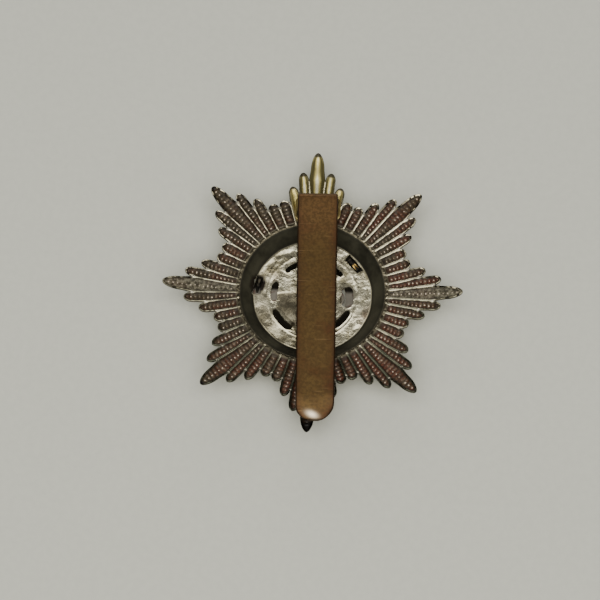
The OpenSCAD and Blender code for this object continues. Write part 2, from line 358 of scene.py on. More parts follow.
def close_sheet(top, under, faces, bulge=0.03):
    """Closes a sheet: its two sides share faces, and each open edge gets a rounded wall.

    The wall's middle ring stands out from the edge by bulge, away from the metal.
    """
    count = len(top)
    edges = np.concatenate([np.stack([f, np.roll(f, -1, 1)], -1).reshape(-1, 2) for f in faces])
    keys = edges[:, 0].astype(np.int64) * count + edges[:, 1]
    back_keys = edges[:, 1].astype(np.int64) * count + edges[:, 0]
    border = edges[~np.isin(keys, back_keys)]
    rim_points = np.unique(border)
    place = np.zeros(count, np.int64)
    place[rim_points] = np.arange(len(rim_points)) + 2 * count
    along = top[border[:, 1], :2] - top[border[:, 0], :2]
    out = np.stack([along[:, 1], -along[:, 0]], -1)
    out /= np.maximum(np.linalg.norm(out, axis=1, keepdims=True), 1e-9)
    push = np.zeros((count, 2))
    np.add.at(push, border[:, 0], out)
    np.add.at(push, border[:, 1], out)
    push /= np.maximum(np.linalg.norm(push, axis=1, keepdims=True), 1e-9)
    middle = (top[rim_points] + under[rim_points]) / 2
    middle[:, :2] += push[rim_points] * bulge
    a, b = border[:, 0], border[:, 1]
    walls = [
        np.stack([a, place[a], place[b], b], -1),
        np.stack([place[a], a + count, b + count, place[b]], -1),
    ]
    under_faces = [f[:, ::-1] + count for f in faces]
    points = np.vstack([top, under, middle])
    return points, faces + under_faces + walls, rim_points


def weld(points, cell=1e-4):
    """For points that share a place in plan: the number of each point's first twin, and the kept points."""
    keys = np.round(points[:, :2] / cell).astype(np.int64)
    _, first, back = np.unique(keys, axis=0, return_index=True, return_inverse=True)
    return back.ravel(), first


def drop_flat(quads):
    """Splits off the quads that have two corners in one place, as triangles."""
    same = quads == np.roll(quads, -1, 1)
    whole = quads[~same.any(1)]
    tris = []
    for corner in range(4):
        hit = quads[same[:, corner] & (same.sum(1) == 1)]
        tris.append(np.delete(hit, corner, 1))
    return [whole, np.vstack(tris)]


# ---------------------------------------------------------------- shaders

class Finish:
    """Builds one procedural finish. Its methods add a node and give back the node's output."""

    def __init__(self, name, metallic, roughness, specular=0.5, coat=0.0, coat_roughness=0.1):
        self.material = bpy.data.materials.new(name)
        self.material.use_nodes = True
        self.nodes = self.material.node_tree.nodes
        self.links = self.material.node_tree.links
        self.shader = self.nodes["Principled BSDF"]
        self.shader.inputs["Metallic"].default_value = metallic
        self.shader.inputs["Roughness"].default_value = roughness
        self.shader.inputs["Specular IOR Level"].default_value = specular
        self.shader.inputs["Coat Weight"].default_value = coat
        self.shader.inputs["Coat Roughness"].default_value = coat_roughness
        self.place = self.nodes.new("ShaderNodeTexCoord").outputs["Object"]

    def feed(self, socket, value):
        """Links a node's output to a socket, or sets the socket to a colour or a number."""
        if isinstance(value, bpy.types.NodeSocket):
            self.links.new(value, socket)
        elif socket.type == "RGBA":
            socket.default_value = (*value, 1.0)
        else:
            socket.default_value = value

    def attribute(self, name):
        """A point value of the mesh."""
        node = self.nodes.new("ShaderNodeAttribute")
        node.attribute_name = name
        return node.outputs["Fac"]

    def stretched(self, scale):
        """Object coordinates times a scale for each axis."""
        node = self.nodes.new("ShaderNodeMapping")
        self.links.new(self.place, node.inputs["Vector"])
        node.inputs["Scale"].default_value = scale
        return node.outputs["Vector"]

    def noise(self, scale, detail=3.0, roughness=0.55, vector=None, distortion=0.0):
        """Fractal noise from 0 to 1; scale is grains a metre."""
        node = self.nodes.new("ShaderNodeTexNoise")
        self.links.new(vector or self.place, node.inputs["Vector"])
        node.inputs["Scale"].default_value = scale
        node.inputs["Detail"].default_value = detail
        node.inputs["Roughness"].default_value = roughness
        node.inputs["Distortion"].default_value = distortion
        return node.outputs["Fac"]

    def cells(self, scale):
        """Distance to the nearest of many scattered points."""
        node = self.nodes.new("ShaderNodeTexVoronoi")
        self.links.new(self.place, node.inputs["Vector"])
        node.inputs["Scale"].default_value = scale
        return node.outputs["Distance"]

    def band(self, value, low, high, bottom=0.0, top=1.0):
        """Smooth step from bottom at low to top at high."""
        node = self.nodes.new("ShaderNodeMapRange")
        node.interpolation_type = "SMOOTHSTEP"
        self.feed(node.inputs["Value"], value)
        node.inputs["From Min"].default_value = low
        node.inputs["From Max"].default_value = high
        node.inputs["To Min"].default_value = bottom
        node.inputs["To Max"].default_value = top
        return node.outputs["Result"]

    def math(self, operation, a, b=0.0, clamp=False):
        node = self.nodes.new("ShaderNodeMath")
        node.operation = operation
        node.use_clamp = clamp
        self.feed(node.inputs[0], a)
        self.feed(node.inputs[1], b)
        return node.outputs["Value"]

    def times(self, a, b):
        return self.math("MULTIPLY", a, b)

    def square(self, value):
        return self.math("POWER", value, 2.0)

    def rest(self, value):
        """One less the value."""
        return self.math("SUBTRACT", 1.0, value)

    def mix(self, amount, a, b):
        """Colour or value a where amount is 0, b where it is 1."""
        node = self.nodes.new("ShaderNodeMix")
        node.data_type = "RGBA"
        self.feed(node.inputs["Factor"], amount)
        self.feed(node.inputs["A"], a)
        self.feed(node.inputs["B"], b)
        return node.outputs["Result"]

    def bump(self, height, strength, distance, before=None):
        """Normal bent by a height, distance in millimetres, over an earlier normal."""
        node = self.nodes.new("ShaderNodeBump")
        node.inputs["Strength"].default_value = strength
        node.inputs["Distance"].default_value = distance * MM
        self.links.new(height, node.inputs["Height"])
        if before:
            self.links.new(before, node.inputs["Normal"])
        return node.outputs["Normal"]

    def finish(self, **sockets):
        """Feeds the shader's sockets, named with underscores, and gives back the material."""
        for name, value in sockets.items():
            self.feed(self.shader.inputs[name.replace("_", " ")], value)
        return self.material


def bead_marks(f):
    """The bowl of each bead and its painted highlight spot, from 0 to 1: ellipses along and across about its
    middle.
    """
    live = f.attribute("bead_live")
    along = f.math("SUBTRACT", f.math("FRACT", f.attribute("bead_at")), 0.5)
    across = f.math("ADD", f.attribute("across"), f.band(f.noise(800.0, 1.0), 0.3, 0.7, -0.1, 0.1))
    bowl_across = f.square(f.math("DIVIDE", across, f.attribute("reach")))
    bowl_gap = f.math("ADD", f.square(f.times(along, 2.2)), bowl_across)
    bowl = f.times(f.band(bowl_gap, 1.05, 0.35), live)
    dot_size = f.band(f.noise(620.0, 1.0), 0.35, 0.65, 5.0, 8.5)
    dot_across = f.square(f.math("DIVIDE", across, 0.13))
    dot_gap = f.math("ADD", f.square(f.times(along, dot_size)), dot_across)
    highlight_dot = f.times(f.band(dot_gap, 1.3, 0.3), live)
    return bowl, f.times(highlight_dot, f.band(f.noise(1100.0, 2.0), 0.40, 0.6, 0.2, 1.0))


def trough_tone(f, tones, edge, patches):
    """Soil in a trough: red or olive with crumbs, painted shade between the beads and beside the crests, and
    one painted highlight spot a bead.
    """
    bowl, highlight_dot = bead_marks(f)
    smooth_ray = f.attribute("pale")
    warmth = f.math("ADD", f.attribute("warmth"), f.band(patches, 0.35, 0.65, -0.4, 0.4), clamp=True)
    tone = f.mix(warmth, tones.olive, tones.soil)
    crumbs = f.noise(1900.0, 4.0, 0.65)
    tone = f.mix(f.band(crumbs, 0.5, 0.66, 0.0, 0.65), tone, CRUMB_PALE)
    tone = f.mix(f.band(crumbs, 0.48, 0.36, 0.0, 0.7), tone, CRUMB_DARK)
    smooth_tone = f.mix(f.band(crumbs, 0.4, 0.62), SMOOTH_RAY_DARK, SMOOTH_RAY_PALE)
    tone = f.mix(f.times(smooth_ray, 0.6), tone, smooth_tone)
    # Painted shade: near black on the ribs between the bead bowls, and in the soil beside the crests
    ribs = f.times(0.62, f.rest(f.times(smooth_ray, 0.7)))
    tone = f.mix(bowl, f.mix(ribs, tone, tones.shade_black), tone)
    tone = f.mix(f.band(edge, 0.42, 0.2, 0.0, 0.55), tone, tones.shade_black)
    # Painted highlight: a bright spot in the middle of each bead's bowl
    return f.mix(highlight_dot, tone, tones.bead_highlight)


def crest_tone(f, tones, free, grime):
    """Bright crest of a ray, greyed by painted shade towards the lower side and in random patches, with a
    broken line of painted shade along its free sides.
    """
    dull = f.attribute("dull")
    tone = f.mix(dull, tones.silver, tones.grey)
    tone = f.mix(f.band(grime, 0.52, 0.7, 0.0, 0.6), tone, tones.grey)
    dashes = f.band(f.noise(1500.0, 2.0), 0.45, 0.56, 1.0, 0.0)
    # Painted shade: a broken near-black line along the ray's free sides
    rim = f.math("MAXIMUM", f.band(free, 0.08, 0.03), f.times(f.band(free, 0.34, 0.2), dashes))
    return f.mix(f.times(rim, f.band(dull, 0.3, 0.9, 1.0, 0.7)), tone, tones.shade_black)


def pan_floor_tone(f, patches):
    """Mottled bright floor of the pan, with streaks, pits, stains, a painted dark reflection with darker
    patches, and painted highlights along the burrs.
    """
    mottle = f.band(f.noise(330.0, 5.0, 0.6, distortion=0.4), 0.34, 0.62)
    streaks = f.noise(1.0, 3.0, 0.6, f.stretched((1500.0, 260.0, 900.0)))
    tone = f.mix(mottle, FLOOR_GREY, FLOOR_BRIGHT)
    tone = f.mix(f.band(streaks, 0.3, 0.7, 0.0, 0.3), tone, FLOOR_STREAK)
    tone = f.mix(f.band(f.noise(1500.0, 2.0, 0.5), 0.63, 0.71, 0.0, 0.85), tone, FLOOR_PIT)
    # Painted highlight along the burrs round the pierced arcs
    tone = f.mix(f.times(f.attribute("burr"), f.band(patches, 0.4, 0.6)), tone, BURR_HIGHLIGHT)
    stain = f.band(f.noise(150.0, 3.0), 0.60, 0.72)
    tone = f.mix(f.times(stain, 0.5), tone, FLOOR_STAIN)
    # Painted dark reflection over part of the disc, and darker patches further left
    return f.mix(f.times(f.attribute("film"), 0.8), tone, FLOOR_SHADE)


def pan_wall_tone(f, tones):
    """Wall of the pan in painted shade, swept lighter and darker at random, and darkest in painted shade
    along its foot and towards the rim.
    """
    darker, lighter, foot = (tuple(share * c for c in tones.wall) for share in (0.45, 1.45, 0.3))
    sweep = f.band(f.noise(190.0, 4.0, 0.6), 0.32, 0.68)
    return f.mix(f.attribute("wall_foot"), f.mix(sweep, darker, lighter), foot)


def front_side_tone(f, tones, edge, grime, on_ray):
    """Front of the sheet: clean, with a little dirt in the grooves between its ridges."""
    groove = f.times(f.band(edge, 0.3, 0.12), on_ray)
    tone = f.mix(f.band(grime, 0.4, 0.7, 0.0, 0.4), tones.silver, FRONT_FILM)
    return f.mix(groove, tone, FRONT_GROOVE)


def star_finish(tones):
    """Struck white metal: bright crests, soiled troughs with beads, a mottled floor and a wall in painted
    shade.
    """
    f = Finish("struck_white_metal", 0.9, 0.3, specular=0.2)
    edge, free, on_ray = f.attribute("edge_gap"), f.attribute("free_gap"), f.attribute("on_ray")
    pan, wall, dirt = f.attribute("pan"), f.attribute("wall"), f.attribute("dirt")
    gold = f.attribute("gold")
    grime = f.noise(900.0, 4.0, 0.6)
    patches = f.noise(260.0, 3.0)
    crest = f.band(f.math("ADD", edge, f.band(grime, 0.3, 0.7, -0.05, 0.05)), 0.19, 0.11)
    soil = f.times(f.times(f.rest(crest), on_ray), f.rest(gold))

    tone = f.mix(soil, crest_tone(f, tones, free, grime), trough_tone(f, tones, edge, patches))
    tone = f.mix(f.attribute("glint"), tone, GLINT)
    tone = f.mix(f.attribute("black"), tone, NEAR_BLACK)
    # The band round the rim: dark, with painted glints in small cells
    band_tone = f.mix(f.band(f.cells(2300.0), 0.30, 0.12), BAND_DARK, BAND_GLINT)
    plain_band = f.times(f.attribute("band"), f.math("SUBTRACT", 0.9, f.times(crest, 0.7)))
    tone = f.mix(plain_band, tone, band_tone)
    tone = f.mix(pan, tone, pan_floor_tone(f, patches))
    tone = f.mix(wall, tone, pan_wall_tone(f, tones))
    # Painted shade round two of the tang slots
    tone = f.mix(dirt, tone, tones.shade_black)
    tone = f.mix(gold, tone, tones.spelter)
    # Painted shade along the free sides of the five spelter-filled rays
    gold_border = f.times(f.attribute("flooded"), f.band(free, 0.30, 0.12, 0.0, 0.85))
    tone = f.mix(gold_border, tone, SPELTER_EDGE_SHADE)
    front = f.band(f.attribute("front"), 0.5, 0.9)
    tone = f.mix(front, tone, front_side_tone(f, tones, edge, grime, on_ray))

    matt = f.math("MAXIMUM", f.math("MAXIMUM", soil, dirt), f.times(wall, 0.45))
    metal = f.times(f.rest(f.times(matt, f.rest(front))), 0.95)
    rough = f.math("ADD", f.band(soil, 0.0, 1.0, 0.26, 0.42), f.band(grime, 0.3, 0.7, -0.05, 0.1))
    rough = f.math("ADD", rough, f.times(wall, 0.28))
    rough = f.math("SUBTRACT", rough, f.times(pan, 0.05))
    uneven = f.math("SUBTRACT", f.math("ADD", pan, 0.2), f.times(f.attribute("film"), 0.9))
    hammer = f.times(f.noise(1250.0, 4.0, 0.6, distortion=0.5), f.times(pan, uneven))
    normal = f.bump(f.noise(2300.0, 3.0, 0.6), 0.3, 0.02)
    normal = f.bump(f.times(f.noise(620.0, 3.0, 0.55), uneven), 0.6, 0.14, normal)
    normal = f.bump(hammer, 0.9, 0.032, normal)
    return f.finish(Base_Color=tone, Metallic=metal, Roughness=rough, Normal=normal)


def strip_finish(tones):
    """Slider strip: brown tarnish on gilding metal with red patches, redder towards the edges and the fold
    as painted shade, a near-black painted shade along its rim, a painted highlight near the free end, and
    fine scratches across.
    """
    f = Finish("tarnished_strip", 0.75, 0.42)
    tip_highlight = f.attribute("tip_highlight")
    clouds = f.noise(170.0, 4.0, 0.6)
    grain = f.noise(1.0, 3.0, 0.6, f.stretched((260.0, 2600.0, 260.0)))
    scratches = f.band(f.noise(1.0, 2.0, 0.5, f.stretched((150.0, 3600.0, 150.0))), 0.66, 0.72)
    specks = f.band(f.noise(2600.0, 2.0, 0.6), 0.35, 0.65, 0.0, 0.6)
    red = f.times(f.band(clouds, 0.5, 0.68), 0.7)
    red = f.math("ADD", red, f.times(f.attribute("edge"), 0.8), clamp=True)
    tone = f.mix(red, tones.strip, tones.strip_red)
    tone = f.mix(f.band(grain, 0.3, 0.7, 0.0, 0.35), tone, STRIP_GRAIN)
    tone = f.mix(f.times(f.attribute("high"), 0.45), tone, STRIP_UPPER)
    tone = f.mix(specks, tone, STRIP_SPECK)
    tone = f.mix(f.times(scratches, 0.35), tone, STRIP_SCRATCH)
    tone = f.mix(f.times(f.attribute("rim"), 0.75), tone, STRIP_RIM_SHADE)
    # Painted highlight near the free end
    tone = f.mix(tip_highlight, tone, STRIP_TIP_HIGHLIGHT)
    rough = f.math("SUBTRACT", f.band(clouds, 0.3, 0.7, 0.38, 0.48), f.times(tip_highlight, 0.2))
    normal = f.bump(scratches, 0.3, -0.02, f.bump(grain, 0.25, 0.02))
    return f.finish(Base_Color=tone, Roughness=rough, Normal=normal)


def plain_finish(name, bright, dark, roughness):
    """Brass or spelter with a mottled film of tarnish and a fine grain."""
    f = Finish(name, 0.95, roughness)
    film = f.band(f.noise(420.0, 4.0, 0.6), 0.35, 0.68)
    rough = f.band(film, 0.0, 1.0, roughness, roughness + 0.2)
    normal = f.bump(f.noise(1900.0, 3.0, 0.55), 0.3, 0.02)
    return f.finish(Base_Color=f.mix(film, bright, dark), Roughness=rough, Normal=normal)


def gilt_finish(name, tones):
    """Gilding metal: bright where the front is rubbed, filmed in the hollows, and dark on the back with
    painted shade.

    The back has less painted shade in a belt just below the middle, the part that shows through the pierced
    arcs.
    """
    f = Finish(name, 0.95, 0.28)
    place = f.nodes.new("ShaderNodeSeparateXYZ")
    f.links.new(f.place, place.inputs["Vector"])
    back = f.band(place.outputs["Z"], 0.55 * MM, 0.70 * MM)
    hollow = f.band(place.outputs["Z"], 0.05 * MM, 0.22 * MM, 0.0, 0.6)
    film = f.band(f.noise(500.0, 4.0, 0.6), 0.4, 0.66, 0.0, 0.35)
    front_tone = f.mix(f.math("ADD", hollow, film, clamp=True), tones.gilding, GILT_FILM)
    belt_gap = f.math("ABSOLUTE", f.math("ADD", place.outputs["Y"], 0.25 * MM))
    belt = f.band(belt_gap, 0.9 * MM, 1.6 * MM, 1.0, 0.0)
    # Less painted shade in the belt that shows through the pierced arcs
    unshaded_belt = f.times(belt, f.band(f.noise(420.0, 4.0, 0.6), 0.3, 0.6, 0.5, 1.0))
    reddish = f.band(f.noise(800.0, 2.0), 0.5, 0.62, 0.0, 0.7)
    back_tone = f.mix(unshaded_belt, GILT_BACK_SHADE, f.mix(reddish, GILT_BACK_GREY, GILT_BACK_RED))
    tone = f.mix(back, front_tone, back_tone)
    rough = f.band(f.math("ADD", film, back), 0.0, 1.2, 0.24, 0.5)
    return f.finish(Base_Color=tone, Roughness=rough, Normal=f.bump(f.noise(1700.0, 3.0, 0.6), 0.35, 0.03))


def tang_finish():
    """Brass of the tangs: nearly black, with one torn edge that shows unsoiled metal."""
    f = Finish("tang_brass", 0.8, 0.45)
    grime = f.noise(1500.0, 3.0, 0.6)
    dark = f.mix(f.band(grime, 0.45, 0.75), NEAR_BLACK, TANG_DARK)
    tone = f.mix(f.band(f.attribute("bright"), 0.25, 0.7), dark, TANG_BRASS)
    return f.finish(Base_Color=tone, Normal=f.bump(grime, 0.5, 0.05))


def spelter_finish(tones):
    """Yellow brazing metal: a painted highlight along the middle of each run, painted shade to its sides,
    dark at the tip.
    """
    f = Finish("run_spelter", 0.8, 0.3)
    from_tip = f.attribute("from_tip")
    clouds = f.noise(320.0, 4.0, 0.6)
    side = f.math("ADD", f.math("ABSOLUTE", f.attribute("share")), f.band(clouds, 0.3, 0.7, -0.15, 0.15))
    tone = f.mix(f.band(side, 0.0, 0.2), SPELTER_HIGHLIGHT, tones.spelter)
    tone = f.mix(f.band(side, 0.16, 0.55), tone, SPELTER_SIDE_SHADE)
    tone = f.mix(f.band(from_tip, 1.1, 0.35, 0.0, 0.8), tone, SPELTER_DULL_END)
    tone = f.mix(f.band(from_tip, 0.8, 0.5, 0.0, 0.9), tone, SPELTER_DARK_END)
    rough = f.band(clouds, 0.3, 0.7, 0.26, 0.4)
    normal = f.bump(f.noise(1500.0, 2.0, 0.5), 0.25, 0.02)
    return f.finish(Base_Color=tone, Roughness=rough, Normal=normal)


def floor_finish(tone):
    """Plain pale card with the faintest grain."""
    f = Finish("pale_floor", 0.0, 0.75, specular=0.25)
    grain = f.noise(900.0, 2.0)
    shade = f.mix(f.band(grain, 0.3, 0.7), tuple(c * 0.965 for c in tone), tone)
    return f.finish(Base_Color=shade, Normal=f.bump(grain, 0.15, 0.05))


# ---------------------------------------------------------------- star

def dish(r, angle):
    """Rise of the struck sheet behind the rim: a power of the radius, most at the sides."""
    t = np.clip((r - RIM_R) / (TIP_R - RIM_R), 0.0, None)
    return t ** 1.3 * (0.745 + 1.463 * np.cos(np.radians(angle)) ** 2)


def line_angle(edge, r):
    """Angle of the line between two rays: linear in the radius from root to notch."""
    t = np.clip((r - ROOT_R) / (edge[1] - ROOT_R), 0.0, 1.0)
    return edge[0] + (edge[2] - edge[0]) * t


def side_angle(ray, edge, side, r):
    """Angle of one side of a ray: the shared line up to the notch, a soft shoulder, then a rounded nose."""
    tip_r, tip_a, nose, half, half_low, power, root = ray
    at_notch = edge[1] * math.sin(math.radians(abs(edge[2] - tip_a)))
    nose_start = max(tip_r - nose, edge[1])
    half_low = min(half_low, at_notch)
    shoulder = (at_notch - half_low) * np.exp(-np.maximum(r - edge[1], 0.0) / 0.55)
    taper = np.clip((r - edge[1]) / max(nose_start - edge[1], 0.01), 0.0, 1.0)
    f = np.clip((r - nose_start) / (tip_r - nose_start), 0.0, 1.0)
    width = (half_low + (min(half, half_low) - half_low) * taper + shoulder) * (1.0 - f ** power) ** root
    free = tip_a + side * np.degrees(np.arcsin(width / r))
    return np.where(r <= edge[1] + 1e-9, line_angle(edge, r), free)


def ray_rows(ray, low, high):
    """Radii of a ray's rows: even steps that hit every notch, then rows that close up towards the tip."""
    stops = [ROOT_R, EDGE_SHORT[1], EDGE_MID[1], EDGE_LONG[1], EDGE_TALL[1]]
    last = max(low[1], high[1])
    rows = [np.array([ROOT_R])]
    for start, end in zip(stops, stops[1:]):
        if end <= last + 1e-9:
            count = max(1, round((end - start) / ROW_STEP))
            rows.append(np.linspace(start, end, count + 1)[1:])
    count = max(8, round(1.15 * (ray[0] - last) / ROW_STEP))
    t = np.linspace(0.0, 1.0, count + 1)[1:]
    rows.append(last + (ray[0] - last) * (t * 0.72 + 0.28 * np.sin(t * math.pi / 2)))
    return np.concatenate(rows)


def outline_distance(points, outline):
    """Distance of each point of an array (..., 2) to the nearest point of a dense outline."""
    flat = points.reshape(-1, 1, 2)
    gap = np.sqrt(((flat - outline[None]) ** 2).sum(-1)).min(1)
    return gap.reshape(points.shape[:-1])


def polar(r, angle):
    """Plan places of a radius and an angle in degrees."""
    a = np.radians(angle)
    return np.stack([r * np.cos(a), r * np.sin(a)], -1)


def ray_grid(ray, low, high, columns, settings):
    """One ray as a grid of radius by place across, with the fields that shape and colour it.

    Depth of the trough = slope * half width, fading in behind the root.
    A bead is a bowl, 1 - (along / a)^2 - (across / b)^2, repeated along the ray at a growing pitch.
    """
    across = np.array([-c for c in columns[:0:-1]] + list(columns))
    rows = ray_rows(ray, low, high)
    a_low = side_angle(ray, low, -1, rows)
    a_high = side_angle(ray, high, 1, rows)
    middle, spread = (a_low + a_high) / 2, (a_high - a_low) / 2
    angle = middle[:, None] + spread[:, None] * across[None]
    r = np.repeat(rows[:, None], len(across), 1)
    dense = np.linspace(ROOT_R - 0.4, ray[0], 500)
    sides = [(polar(dense, side_angle(ray, edge, side, dense)), edge[1])
             for edge, side in ((low, -1), (high, 1))]
    free_side = np.vstack([s[dense >= notch - 0.02] for s, notch in sides])
    points = polar(r, angle)
    half = np.radians(spread)[:, None] * r
    offset = across[None] * half
    reach = np.maximum(half - 0.2, 0.05)

    pitch = settings.bead_pitch / MM
    growth = 0.012
    start = FIRST_BEAD_R + 0.3 * hashed(ray[1], 3.0, 1.0)
    number = np.log(np.maximum(1.0 + growth * (r - start) / pitch, 0.2)) / growth
    here = (number - np.floor(number) - 0.5) * (pitch + growth * (r - start))
    bowl = 1.0 - (here / (0.43 * pitch)) ** 2 - (offset / reach) ** 2
    live = smooth(start - 0.1, start, r) * (1.0 - smooth(ray[0] - 0.75, ray[0] - 0.45, r))
    notches = [((points - polar(edge[1], edge[2])) ** 2).sum(-1) for edge in (low, high)]
    return {
        "r": r, "angle": angle, "half": half, "offset": offset, "reach": reach,
        "q": outline_distance(points, np.vstack([s for s, _ in sides])),
        "q_free": outline_distance(points, free_side),
        "number": number, "live": live, "bead": np.clip(bowl, 0.0, 1.0) * live,
        "depth": np.clip(settings.trough_slope * half, 0.17, 0.42) * smooth(11.5, 12.1, r),
        "tip": np.full_like(r, ray[0]), "kind": np.full_like(r, ray[1]),
        "glint": np.exp(-np.minimum(*notches) / 0.2 ** 2),
    }


def star_rays(settings):
    """All 56 rays in compass order, each a dictionary of grids, with the angle turned to its place."""
    mirrored = (-EDGE_TALL[0], EDGE_TALL[1], -EDGE_TALL[2])
    tall = ray_grid(TALL, mirrored, EDGE_TALL, TALL_COLUMNS, settings)
    half = [ray_grid(ray, low, high, OTHER_COLUMNS, settings) for ray, low, high in
            ((LONG, EDGE_TALL, EDGE_LONG), (MID, EDGE_LONG, EDGE_MID), (SHORT, EDGE_MID, EDGE_SHORT))]
    rays = []
    for octant in range(8):
        turn = octant * OCTANT
        back = [{k: v[:, ::-1] for k, v in grid.items()} for grid in reversed(half)]
        for grid, sign in [(g, -1) for g in back] + [(tall, 1)] + [(g, 1) for g in half]:
            placed = dict(grid)
            placed["angle"] = turn + sign * grid["angle"]
            placed["side"] = np.full_like(grid["r"], sign)
            rays.append(placed)
    return rays


def pan_rows():
    """Nominal radii of the pan's rings, closer together at the step, the wall's feet and the rim."""
    disc = np.array([0.7, 1.5, 2.3, 3.0, 3.6, 4.1, 4.55])
    pierced = np.linspace(*WINDOW_RINGS, 5)
    step = np.array([6.66, 6.79, 6.91, 7.0, 7.09, 7.21, 7.36, 7.58])
    slot = np.linspace(*SLOT_RINGS, 5)
    wall = np.array([8.92, 9.05, 9.15, 9.25, 9.37, 9.6, 9.95, 10.3, 10.6, 10.8, 10.92, 11.0, 11.06, 11.13])
    return np.concatenate([disc, pierced, step, slot, wall])


def arc_share(angle):
    """How far an angle is from the middle of the nearest pierced arc, as a share of its half."""
    return np.min([np.abs(turn_between(angle, w[0])) / w[1] for w in WINDOWS], axis=0)


def pierced_edges(angle):
    """Inner and outer radius of the pierced ring: steady along each arc, closing in at its ends."""
    knots, inner, outer = [], [], []
    for middle, half, low, high in WINDOWS:
        knots += [middle - half, middle + half]
        inner += [low, low]
        outer += [high, high]
    inner_r = np.interp(angle, knots, inner, period=360.0)
    outer_r = np.interp(angle, knots, outer, period=360.0)
    share = arc_share(angle)
    close = np.where(share < 1.0, share ** 6, np.exp(-6.0 * (share - 1.0))) * 0.34 * (outer_r - inner_r)
    ragged = 0.05 * lattice(angle, angle * 0.0, 5.0, 5.0)
    return inner_r + close + ragged, outer_r - close + 0.8 * ragged


def pan_warp(r, angle):
    """Moves the pan's rings so that two of them follow the pierced arcs and two the tang slots."""
    inside, between, outside = PULL_ENDS
    inner_r, outer_r = pierced_edges(angle)
    moved = r + hat(r, inside, *WINDOW_RINGS) * (inner_r - WINDOW_RINGS[0])
    moved = moved + hat(r, *WINDOW_RINGS, between) * (outer_r - WINDOW_RINGS[1])
    for index, (slot_r, slot_a, slot_half) in enumerate(SLOTS):
        torn = index == TORN_SLOT
        delta = turn_between(angle, slot_a)
        near = 1.0 - smooth(slot_half, slot_half + 3.5, np.abs(delta))
        straight = 1.0 / np.cos(np.radians(np.clip(delta, -30, 30)))
        jag = (0.2 if torn else 0.06) * lattice(angle, r * 0.0, 2.6, 9.0 + index)
        inner = (slot_r - SLOT_HALF) * straight + jag
        outer = (slot_r + (TORN_SLOT_OUT if torn else SLOT_HALF)) * straight - jag
        moved = moved + near * hat(r, between, *SLOT_RINGS) * (inner - SLOT_RINGS[0])
        moved = moved + near * hat(r, *SLOT_RINGS, outside) * (outer - SLOT_RINGS[1])
    return moved


def pan_level(r):
    """Height of the pan's reverse: floor, wall and rim joined by soft corners of a soft-plus function."""
    softness = 0.11
    slope = (RIM_Z - FLOOR_Z) / (RIM_R - FLOOR_R)

    def ramp(x):
        return softness * np.logaddexp(0.0, x / softness)

    return FLOOR_Z + slope * (ramp(r - FLOOR_R) - ramp(r - RIM_R))


def pan_slope(r):
    """Slope of the pan's reverse along the radius, from two near levels."""
    step = 1e-3
    return (pan_level(r + step) - pan_level(r - step)) / (2 * step)


def open_cells(rows, angles):
    """Which cells between the pan's rings and spokes lie in a pierced arc or a tang slot."""
    mid_angle = angles + turn_between(np.roll(angles, -1), angles) / 2
    mid_row = (rows[:-1] + rows[1:]) / 2
    cell_a = np.repeat(mid_angle[None], len(mid_row), 0)
    cell_r = np.repeat(mid_row[:, None], len(mid_angle), 1)
    is_open = np.zeros(cell_a.shape, bool)
    holes = [(w[0], w[1], WINDOW_RINGS) for w in WINDOWS] + [(h[1], h[2], SLOT_RINGS) for h in SLOTS]
    for middle, half_angle, rings in holes:
        near = np.abs(turn_between(cell_a, middle)) < half_angle
        is_open |= (cell_r > rings[0]) & (cell_r < rings[1]) & near
    return is_open


